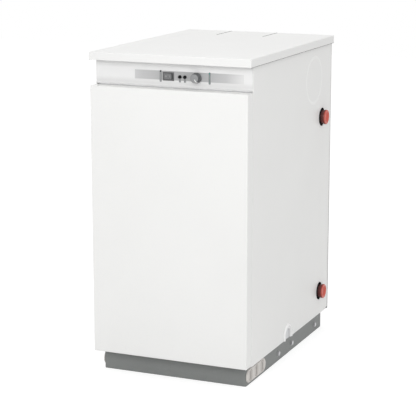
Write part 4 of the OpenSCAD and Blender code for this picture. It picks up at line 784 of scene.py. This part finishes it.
def makeFixings(name, node, part, x, ys, zs, axis=None, finish="zinc"):  # on both sides
    places = [((side * x, y, z), axis or (side, 0, 0))
              for side in (-1, 1) for y in ys for z in zs]
    partsAt(name, part, places, [node], finish)


print("mesh tools and node trees ready")

# casing
edgeWork = {  # how far each node's long edges are rounded, in millimetres
    "plinth": 0.7, "entry_plates": 0.35, "base_tray": 0.4, "boiler_skids": 0.8,
    "side_panel_right": 0.5, "side_panel_left": 0.5, "notch_grommets": 0.45,
    "back_panel": 0.4, "catch_rail": 0.4, "magnetic_catches": 0.8, "hinge_brackets": 0.3,
    "front_door": 0.6, "lid": 0.6, "flue_plate": 0.35, "fascia": 0.4, "control_tray": 0.4,
    "thermostat_bodies": 0.8, "water_jacket": 1.0, "front_plate": 1.0,
    "combustion_chamber": 0.8, "baffles": 0.6, "cleaning_door": 1.2, "flue_collector": 0.7,
    "pipe_tails": 0.4, "burner_flange": 1.0, "blast_tube": 0.4, "firing_head": 0.3,
    "burner_housing": 1.4, "burner_motor": 0.8, "fan_wheel": 0.0, "drive_shaft": 0.3,
    "air_box": 1.0, "air_damper": 0.3, "oil_pump": 1.0, "jet_pipe": 0.0, "control_box": 0.8,
    "oil_filter": 1.0, "oil_valve": 0.6, "valve_lever": 0.5,
}
otherFinish = {"control_tray": "sheet_white", "catch_rail": "sheet_white",
               "notch_grommets": "mouldingWhite", "lid": "lidCoat", "flue_plate": "lidCoat"}
for node, soften in edgeWork.items():
    dressed(node, soften, finish=otherFinish.get(node))
print("nodes dressed:", len(edgeWork))

boltSettings = {"part": hexHead(across=13.6, height=3.2, chamfer=0.7, washer=(15.5, 0.9)),
                "x": 206, "ys": (248, 54, -53), "zs": (21,), "finish": "bolt"}
screwSettings = {"part": domeHead(radius=4, rim=0.3, rise=2.4), "x": 209.5, "ys": (322,),
                 "zs": (88.568, 457.35, 826.132), "axis": (0, 1, 0)}
makeFixings("plinthBoltHeads", "plinth_bolts", **boltSettings)
makeFixings("panelScrewHeads", "panel_screws", **screwSettings)

plugSettings = {
    "tail": 221.3, "y": 246, "ribs": 40, "reach": 20,
    "rib": ((-0.5, -0.45, 7.9), (0.45, 0.45, 12.6)),
    "turned": {  # finish, steps, profile of (radius, height)
        "Cap": ("plug_red", 64, [
            (0, 8.6), (11, 8.6), (12.2, 9.4), (15.6, 13.4), (16.6, 14), (18.6, 14),
            (19.6, 13.6), (20, 12.8), (19.6, 12.2), (19.4, 7), (0, 7)]),
        "Sleeve": ("plugShade", 64, [
            (19, 7), (19.8, 7.2), (20, 7.6), (20, 11.8), (19.7, 12.3), (19, 12.3), (19, 7)]),
        # the collar is a real part; its dark red is the plug's red with painted shade
        "Collar": ("collar", 48, [
            (0, 7), (18.9, 7), (19.3, 6.4), (19.3, 1), (18.8, 0.3), (16, 0), (13.3, 0),
            (13.3, -16.5), (12, -18), (10.6, -18), (10.6, -2), (0, -2)]),
    },
}


def makePlug(name, side, height, body, node, tail, y, ribs, reach, rib, turned):
    place = toward((side * tail, y, height), (side, 0, 0))
    for part, (finish, steps, profile) in turned.items():
        bm = lathe(profile, steps)
        bmesh.ops.remove_doubles(bm, verts=bm.verts, dist=1e-4)
        replaced = [node] if part == "Cap" else ()
        fit(bm, name + part, finish, body, replaced, place, 40)
    partsRound(name + "Ribs", slab(*rib), ribs, reach, "plugShade", place, body)


for side, sideName in ((1, "right"), (-1, "left")):
    for run, height in (("flow", 636), ("return", 125)):
        makePlug(run + "Plug" + sideName.capitalize(), side, height,
                 "plug_" + run[0] + sideName[0], f"plug_{run}_{sideName}", **plugSettings)

scoreSettings = {"x": 208.45, "ys": (-266.16, -224, -181.84), "z": 25, "width": 24.8,
                 "height": 29.6, "radius": 0.6}


def makeKnockoutScoreShade(x, ys, z, width, height, radius):
    # painted shade: a dark line in the score round each oval knock-out
    bm = bmesh.new()
    for side in (-1, 1):
        for y in ys:
            tube([Vector((side * x, y + p.x, z + p.z))
                  for p in pillPoints(0, 0, width, height, 0)], radius, 8, True, bm)
    fit(bm, "knockoutScores", "knockout", "casing", limit=50)


makeKnockoutScoreShade(**scoreSettings)

edgeStrips = {  # thin strips: finish, body, softening, mirrored, boxes between two corners
    # painted shade: dark strips that fill the seam gaps beside the flue plate
    "flueSeamSeal": ("seal", "lid_body", 0, False, [
        ((-87.95, 206, 858.15), (-86.85, 324.6, 859.6)),
        ((52.85, 206, 858.15), (53.95, 324.6, 859.6))]),
    "rearEdgeTrim": ("edging", "casing", 0.3, True, [  # painted shade: a dark strip up the rear corner, along the foot
        ((217.68, 318.18, 56.5), (220.18, 322.18, 857.5)),
        ((217.68, 308, 54.5), (220.18, 322.18, 58.5))]),
    "doorTopSeal": ("sealPale", "casing", 0.6, False, [  # fills the gap over the door
        ((-212, -292.6, 770.4), (212, -280.4, 772.2))]),
    # painted shade: a dark strip along the lower edge of each lid skirt
    "lidSkirtSeal": ("seal", "lid_body", 0.2, True, [
        ((224.7, -317, 838.1), (226, 323, 838.95))]),
}
for name, (finish, body, soften, mirrored, boxes) in edgeStrips.items():
    bm = bmesh.new()
    for low, high in boxes:
        slab(low, high, soften, bm, mirrored)
    fit(bm, name, finish, body)


def roundPath(turns, centre, radius, foot=None):  # points (y, z) and the way out at each
    path = [(radius * c, centre + radius * s, c, s) for c, s in arc(turns, 1, 1)]
    return path if foot is None else [(-radius, foot, -1, 0), *path, (radius, foot, 1, 0)]


archSettings = {"y": -18, "face": 220.1, "half": 4.4, "rise": 4.4, "closed": False,
                "path": roundPath([180 - 7.5 * k for k in range(25)], 66, 27.6, 55.4)}
rimSettings = {"y": 175, "face": 219.9, "half": 4.5, "rise": 0.7, "closed": True,
               "path": roundPath(range(0, 360, 5), 748, 64.4)}


def makeEdging(name, finish, path, closed, y, face, half, rise):
    # domed pale edging along the same path on both side panels
    dome = arc(range(0, 181, 20), half, rise)
    bm = bmesh.new()
    for side in (-1, 1):
        bridge(bm, [[bm.verts.new((side * (face + up), y + py + ny * out, z + nz * out))
                     for out, up in dome] for py, z, ny, nz in path], closed)
    fit(bm, name, finish, "casing", limit=50)


makeEdging("notchArches", "mouldingWhite", **archSettings)
# the rims catch light as raised beads, and their paler paint adds a painted highlight
makeEdging("blankRims", "rim", **rimSettings)
print("casing trim ready")


# controls
knobSettings = {
    "x": 67, "back": -291.4, "z": 803, "grip": 11.5, "skirt": 13.5, "depth": 18, "ribs": 28,
    "ribRadius": 0.55, "pointerAngle": 60, "spindle": 3, "spindleEnd": -276.7,
}


def makeKnob(x, back, z, grip, skirt, depth, ribs, ribRadius, pointerAngle, spindle,
             spindleEnd):
    place, tail, front = toward((x, back, z), (0, -1, 0)), back - spindleEnd, back - depth
    side = [(0, tail), (spindle, tail), (spindle, 4), (grip - 2.4, 4), (grip - 2.4, 0),
            (skirt - 0.3, 0), (skirt, 0.4), (skirt, 1.9), (skirt - 0.7, 2.9),
            (grip + 0.5, 3.4), (grip, 4.2), (grip - 0.35, depth - 1.6),
            (grip - 0.9, depth - 0.9), (0, depth - 0.9)]
    # painted shade: the knob's side, skirt and ribs take a darker copy of its grey
    fit(lathe(side, 72), "thermostatKnob", "knobSide", "knob", ["stat_knob"],
        place)
    face = [(0, depth - 1), (grip - 0.8, depth - 1), (grip - 0.8, depth - 0.5),
            (grip - 1.6, depth), (grip - 3.2, depth), (grip - 3.7, depth - 0.4),
            (0, depth - 0.4)]
    fit(lathe(face, 72), "knobFace", "knob_plastic", "knob", (), place)
    rib = lathe([(0, 5), (ribRadius, 5.4), (ribRadius, depth - 2.4), (0, depth - 1.7)], 8)
    partsRound("knobRibs", rib, ribs, grip - 0.15, "knobSide", place, "knob",
               60)
    turn = (Matrix.Translation((x * mm, 0, z * mm))
            @ Matrix.Rotation(math.radians(pointerAngle), 4, "Y") @ toMetres)
    bm = slab((2.5, front - 0.5, -1.1), (grip - 1.2, front + 1.0, 1.1), 0.35)
    slab((grip - 1.4, front + 1.0, -0.9), (grip + 0.75, front + 13, 0.9), 0.3, bm)
    fit(bm, "knobPointer", "pointer", "knob", (), turn)


makeKnob(**knobSettings)
dressed("fascia_strip", 0.12, 4)
dressed("switch_body", 0.45, 3, "frame")
dressed("power_rocker", 0.35, 3, "rocker")

rockerSettings = {"place": (-12, -288.6, 803), "tilt": -8, "front": -4.1, "slope": 8,
                  "bar": ((5.3, -0.35, -2.6), (6.3, 0.35, 2.6), 0.2),
                  "ringX": -5.8, "ringRadius": 2.0, "ringWire": 0.35}


def makeRockerMarks(place, tilt, front, slope, bar, ringX, ringRadius, ringWire):
    # a raised bar on the on side and a ring on the off side
    turn = (Matrix.Translation(Vector(place) * mm)
            @ Matrix.Rotation(math.radians(tilt), 4, "Z") @ toMetres)
    onSide, offSide = (Matrix.Translation((0, front, 0))
                       @ Matrix.Rotation(math.radians(way * slope), 4, "Z") for way in (-1, 1))
    fit(slab(*bar), "rockerOnMark", "rockerPrint", "rocker", (), turn @ onSide)
    ring = tube([offSide @ Vector((ringX + px, 0, pz)) for px, pz in circle(ringRadius, 24)],
                ringWire, 8, True)
    fit(ring, "rockerOffMark", "rockerPrint", "rocker", (), turn, 50)


makeRockerMarks(**rockerSettings)

markSettings = {"y": -290.6, "z": 803, "line": 1.0, "width": 5, "face": 0.22, "lens": 2.4,
                "dome": 1.3, "tall": ((-34, 102), 30, 0), "short": ((20, 34), 8, 10)}


def makeMarks(y, z, line, width, face, lens, dome, tall, short):
    # tall and short windows: where across, how high, how far down
    pills = [pillPoints(x, z - drop, width - line, height - line, y)
             for xs, height, drop in (tall, short) for x in xs]
    bm = bmesh.new()
    for pill in pills:
        tube(pill, line * 0.9, 8, True, bm)
    fit(bm, "pillOutlines", "ink", "casing", ["fascia_marks"], limit=50)
    for finish, chosen in (("pillFace", pills[:1] + pills[2:]), ("pillGreen", pills[1:2])):
        bm = bmesh.new()
        for pill in chosen:
            bridge(bm, [[bm.verts.new(point - Vector((0, rise, 0))) for point in pill]
                        for rise in (0, face)])
        fit(bm, finish + "s", finish, "casing")
    profile = [(0, -0.1)] + arc(range(0, 90, 15), lens, dome) + [(0, dome)]
    for x, name in zip(tall[0], ("Dark", "Green")):
        place = toward((x, y, z + (tall[1] - width) / 2), (0, -1, 0))
        fit(lathe(profile, 24), "lamp" + name, "lens" + name, "casing", (), place, 50)


makeMarks(**markSettings)

buttonSettings = {"finish": "black_gloss", "radius": 4.25, "length": 17.3, "steps": 40,
                  "crown": [(0, -0.8), (0.25, -0.25), (0.8, 0), (1.6, -0.05), (4.25, -0.5)]}
lockoutSettings = {"finish": "red_plastic", "radius": 9, "length": 9.7, "steps": 48,
                   "crown": [(0, -1.2), (0.4, -0.35), (1.2, 0), (2.6, 0), (3.4, -0.7),
                             (6, -1.6), (9, -1.8)]}


def makeButton(name, body, node, place, finish, radius, length, steps, crown):
    # crown: how far in from the rim, and the height there
    profile = [(0, -length), (radius, -length)] + [(radius - inset, z) for inset, z in crown]
    fit(lathe(profile, steps), name, finish, body, [node], toward(place, (0, -1, 0)))


makeButton("resetButtonCap", "reset_body", "reset_button", (20, -294.6, 803), **buttonSettings)
makeButton("testButtonCap", "test_body", "test_button", (34, -294.6, 803), **buttonSettings)
makeButton("lockoutCap", "lockout_body", "burner_reset", (0, -194.5, 400), **lockoutSettings)
print("controls ready")

# boiler body
nutSettings = {
    "part": hexHead(across=17, height=6.5, chamfer=1.0, washer=(20, 1.5), shank=(8, 14)),
    "x": 140, "ys": (-83.5,), "zs": (138.4, 305.8, 473.2, 640.6), "axis": (0, -1, 0)}
makeFixings("cleaningDoorNuts", "cleaning_door_nuts", **nutSettings)

gasketSettings = {"x": 129.5, "low": 130, "high": 649, "y": -72.5, "corner": 9, "step": 5,
                  "radius": 3.0, "sides": 14}
fit(frameTube(**gasketSettings), "cleaningDoorRope", "rope", "casing",
    ["cleaning_door_gasket"], limit=50)

strapHeights = (205, 405, 610)
wrapSettings = {"voxel": 0.0065, "inset": 0.5, "ripple": 1.5, "rippleScale": 14, "pinch": 2.0,
                "pinchReach": 14}


def makeWrap(voxel, inset, ripple, rippleScale, pinch, pinchReach):
    base = pieceFrom(mergedCopy("insulation_wrap"), "wrapBase", finishes["pad"], fix=False)
    remesh = base.modifiers.new("remesh", "REMESH")
    remesh.mode, remesh.voxel_size = "VOXEL", voxel
    made = evaluated(base)
    bpy.data.objects.remove(base)
    bm = bmesh.new()
    bm.from_mesh(made)
    bpy.data.meshes.remove(made)
    bmesh.ops.smooth_vert(bm, verts=bm.verts, factor=0.5, use_axis_x=True, use_axis_y=True,
                          use_axis_z=True)
    bm.normal_update()
    shifts = []
    for vert in bm.verts:
        waves = abs(noise.fractal(vert.co * rippleScale, 0.6, 2.0, 4) * ripple)
        near = min(abs(vert.co.z / mm - z) for z in strapHeights)
        drawn = pinch * math.exp(-(near / pinchReach) ** 2)
        shifts.append(vert.normal * (-inset - waves - drawn) * mm)
    for vert, shift in zip(bm.verts, shifts):
        vert.co += shift
    wrap = pieceFrom(bm, "foilWrap", finishes["pad"], 70, fix=False)
    settle(wrap, "casing", ["insulation_wrap"])


strapSettings = {"x": 196.4, "back": 306.9, "front": -64.5, "corner": 8, "cut": 2.4,
                 "half": 8, "thick": 0.7, "buckle": ((196.6, -20, -10), (199, 4, 10))}


def makeStraps(x, back, front, corner, cut, half, thick, buckle):
    side = [(x, front), (x, back - corner), (x - cut, back - cut), (x - corner, back)]
    line = [(-px, py) for px, py in side] + side[::-1]
    bm, buckles = bmesh.new(), bmesh.new()
    for z in strapHeights:
        rows = []
        for px, py in line:
            outX = math.copysign(thick, px) if abs(px) > x - corner - 1 else 0
            outY = thick if py > back - corner - 1 else 0
            rows.append([bm.verts.new((px + share * outX, py + share * outY, z + up * half))
                         for share, up in ((0, -1), (0, 1), (1, 1), (1, -1))])
        bridge(bm, rows)
        low, high = [(px, py, z + pz) for px, py, pz in buckle]
        slab(low, high, 0.5, buckles, True)
    fit(bm, "wrapStraps", "strap", "casing")
    fit(buckles, "strapBuckles", "zinc", "casing")


makeWrap(**wrapSettings)
makeStraps(**strapSettings)
print("insulation ready")

beadSettings = {"x": 170.2, "low": 89.3, "high": 689.7, "y": -65.2, "corner": 5, "step": 4,
                "radius": 1.9, "sides": 10, "lump": 0.5, "lumpScale": 0.22}
fit(frameTube(**beadSettings), "jacketWeldBead", "weld", "casing", limit=60)

padSettings = {"x": (-206.5, 206.5), "y": (-323.5, -305.5), "z": (104.3, 759.5), "cell": 6,
               "pitch": 30, "wave": 2.6, "edge": 10, "edgeDrop": 4.5}


def makeDoorPad(x, y, z, cell, pitch, wave, edge, edgeDrop):
    (x0, x1), (y0, y1), (z0, z1) = x, y, z
    across, up = round((x1 - x0) / cell), round((z1 - z0) / cell)

    def padDepth(x, z):
        lift = min(1, min(x - x0, x1 - x, z - z0, z1 - z) / edge) ** 0.5
        crate = 0.5 + 0.25 * (math.cos(math.tau * x / pitch) + math.cos(math.tau * z / pitch))
        return (y1 - y0) - wave * (1 - crate) - edgeDrop * (1 - lift)

    bm = bmesh.new()
    places = [[(x0 + (x1 - x0) * i / across, z0 + (z1 - z0) * j / up) for j in range(up + 1)]
              for i in range(across + 1)]
    front = [[bm.verts.new((x, y0 + padDepth(x, z), z)) for x, z in row] for row in places]
    back = [[bm.verts.new((x, y0, z)) for x, z in row] for row in places]
    for sheet in (front, back):
        for a, b in zip(sheet, sheet[1:]):
            for j in range(up):
                bm.faces.new((a[j], a[j + 1], b[j + 1], b[j]))
    border = ([(i, 0) for i in range(across)] + [(across, j) for j in range(up)]
              + [(i, up) for i in range(across, 0, -1)] + [(0, j) for j in range(up, 0, -1)])
    for (i, j), (k, m) in zip(border, border[1:] + border[:1]):
        bm.faces.new((front[i][j], front[k][m], back[k][m], back[i][j]))
    pad = fit(bm, "acousticPad", "foam", "door", ["door_pad"], limit=60)


makeDoorPad(**padSettings)


# burner trim
def capScrew(diameter, height):
    radius = diameter / 2
    return lathe([(0, -1), (radius, -1), (radius, height - 0.4), (radius - 0.4, height),
                  (radius * 0.5, height), (radius * 0.45, height * 0.45),
                  (0, height * 0.45)], 16)


trimSettings = {
    "axis": (-186.5, 267),
    "rings": {  # place along the axis, way out, turn, count, radius, finish, slot, part
        "motorFlangeScrews": (-55, -1, 0.78, 4, 50.2, "zinc", "zinc", capScrew(6.6, 3)),
        "motorLouvres": (-141, -1, 0, 14, 25, "seal", "motor_paint",
                         slab((-8, -1.5, -0.2), (8, 1.5, 0.15), 0.1)),
        "pumpScrews": (131, 1, 0, 6, 23.5, "zinc", "zinc", capScrew(5.4, 2.4)),
    },
    "boxFace": 79, "boxCorners": (44, 42), "gauge": (104, -215.5, 267),
    "seam": ((-50.12, -189.62, 408), (50.12, -97.38, 408.7)), "lidScrew": (0, -189.5, 383),
}


def makeBurnerTrim(axis, rings, boxFace, boxCorners, gauge, seam, lidScrew):
    y, z = axis
    for name, (x, way, turn, count, radius, finish, slot, part) in rings.items():
        place = toward((x, y, z), (way, 0, 0)) @ Matrix.Rotation(turn, 4, "Z")
        partsRound(name, part, count, radius, finish, place, "casing")
    across, up = boxCorners
    places = [((boxFace, y + side * across, z + level * up), (1, 0, 0))
              for side in (-1, 1) for level in (-1, 1)]
    partsAt("airBoxScrews", capScrew(6, 2.2), places)
    fit(hexHead(12, 4), "pumpGaugePlug", "brass", "casing", (),
        toward(gauge, (0, -1, 0)), 34)
    fit(slab(*seam), "controlBoxSeam", "seal", "casing")
    fit(capScrew(7, 1.2), "controlBoxScrew", "zinc", "casing", (),
        toward(lidScrew, (0, -1, 0)), 34)


makeBurnerTrim(**trimSettings)
print("burner trim ready")

# pipes and cables
hoseSettings = {
    "radius": 6, "passes": 8, "stiffness": "stiff",
    "route": heldRoute((115, -232, 140), (0, 0, 1), [
        (125, -236, 188), (148, -242, 212), (172, -240, 236), (184, -226, 258),
        (176, -202, 274)], (1, 0, 0), (133, -186.5, 279)),
}
cableSettings = {
    "radius": 3.5, "passes": 20, "stiffness": "medium",
    "route": heldRoute((-60, -150, 760.2), (0, 0, -1), [
        (-74, -158, 715), (-96, -174, 670), (-104, -180, 620), (-102, -182, 560),
        (-82, -180, 505), (-48, -175, 466)], (0, 0, 1), (-30, -174.5, 426)),
}
ferruleSettings = {"ways": ((0, 0, 1), (1, 0, 0)), "radius": 7.4, "length": 15, "nut": 17,
                   "height": 7, "grooves": 3, "pitch": 2.2}
capillarySettings = {
    "radius": 1.2,
    "ends": [((67, -254, 803), (150, -5, 709.5)), ((20, -258, 803), (146, -5, 709.5))],
    "middle": [(0.06, 0.157, 0.021), (0.3, 0.337, 0.086), (0.59, 0.578, 0.225),
               (0.83, 0.779, 0.417), (0.964, 0.932, 0.588)],  # shares of the way in x, y, z
}


def makeFlex(name, finish, node, thinner, radius, passes, stiffness, route):
    # a flexible line between two fittings
    line = easedLine(smoothRoute(route), passes)
    piece = fit(tube(line, radius - thinner, 24), name, finish, "casing",
                [node], limit=50)


def makeFerrules(ends, ways, radius, length, nut, height, grooves, pitch):
    nutSide = [(0, 0.5), (nut / 2 - 0.8, 0.5), (nut / 2, 1.2), (nut / 2, height - 0.7),
               (nut / 2 - 0.8, height), (0, height)]
    sleeve = [(0, height - 0.5), (radius, height - 0.5)]
    for k in range(grooves):
        z = height + 1 + pitch * k
        sleeve += [(radius, z), (radius - 0.6, z + 0.4), (radius - 0.6, z + 1.2),
                   (radius, z + 1.6)]
    sleeve += [(radius, length - 0.6), (radius - 0.6, length), (0, length)]
    bm = bmesh.new()
    for end, way in zip(ends, ways):
        lathe(nutSide, 6, bm, toward(end, way, 1.0))
        lathe(sleeve, 32, bm, toward(end, way, 1.0))
    fit(bm, "hoseFerrules", "zinc", "casing")


def makeCapillaries(radius, ends, middle):
    bm = bmesh.new()
    for start, end in ends:
        points = [[a + share * (b - a) for a, b, share in zip(start, end, shares)]
                  for shares in middle]
        tube(smoothRoute(heldRoute(start, (0, 1, 0), points, (0, 0, 1), end)), radius, 12,
             False, bm)
    fit(bm, "capillaryTubes", "copper", "casing", ["capillaries"], limit=60)


makeFlex("oilHoseBraid", "hose", "oil_hose", 0.2, **hoseSettings)
makeFerrules((hoseSettings["route"][0], hoseSettings["route"][-1]), **ferruleSettings)
makeFlex("burnerCableSheath", "cable_sheath", "burner_cable", 0, **cableSettings)
makeCapillaries(**capillarySettings)
print("pipes and cables ready")
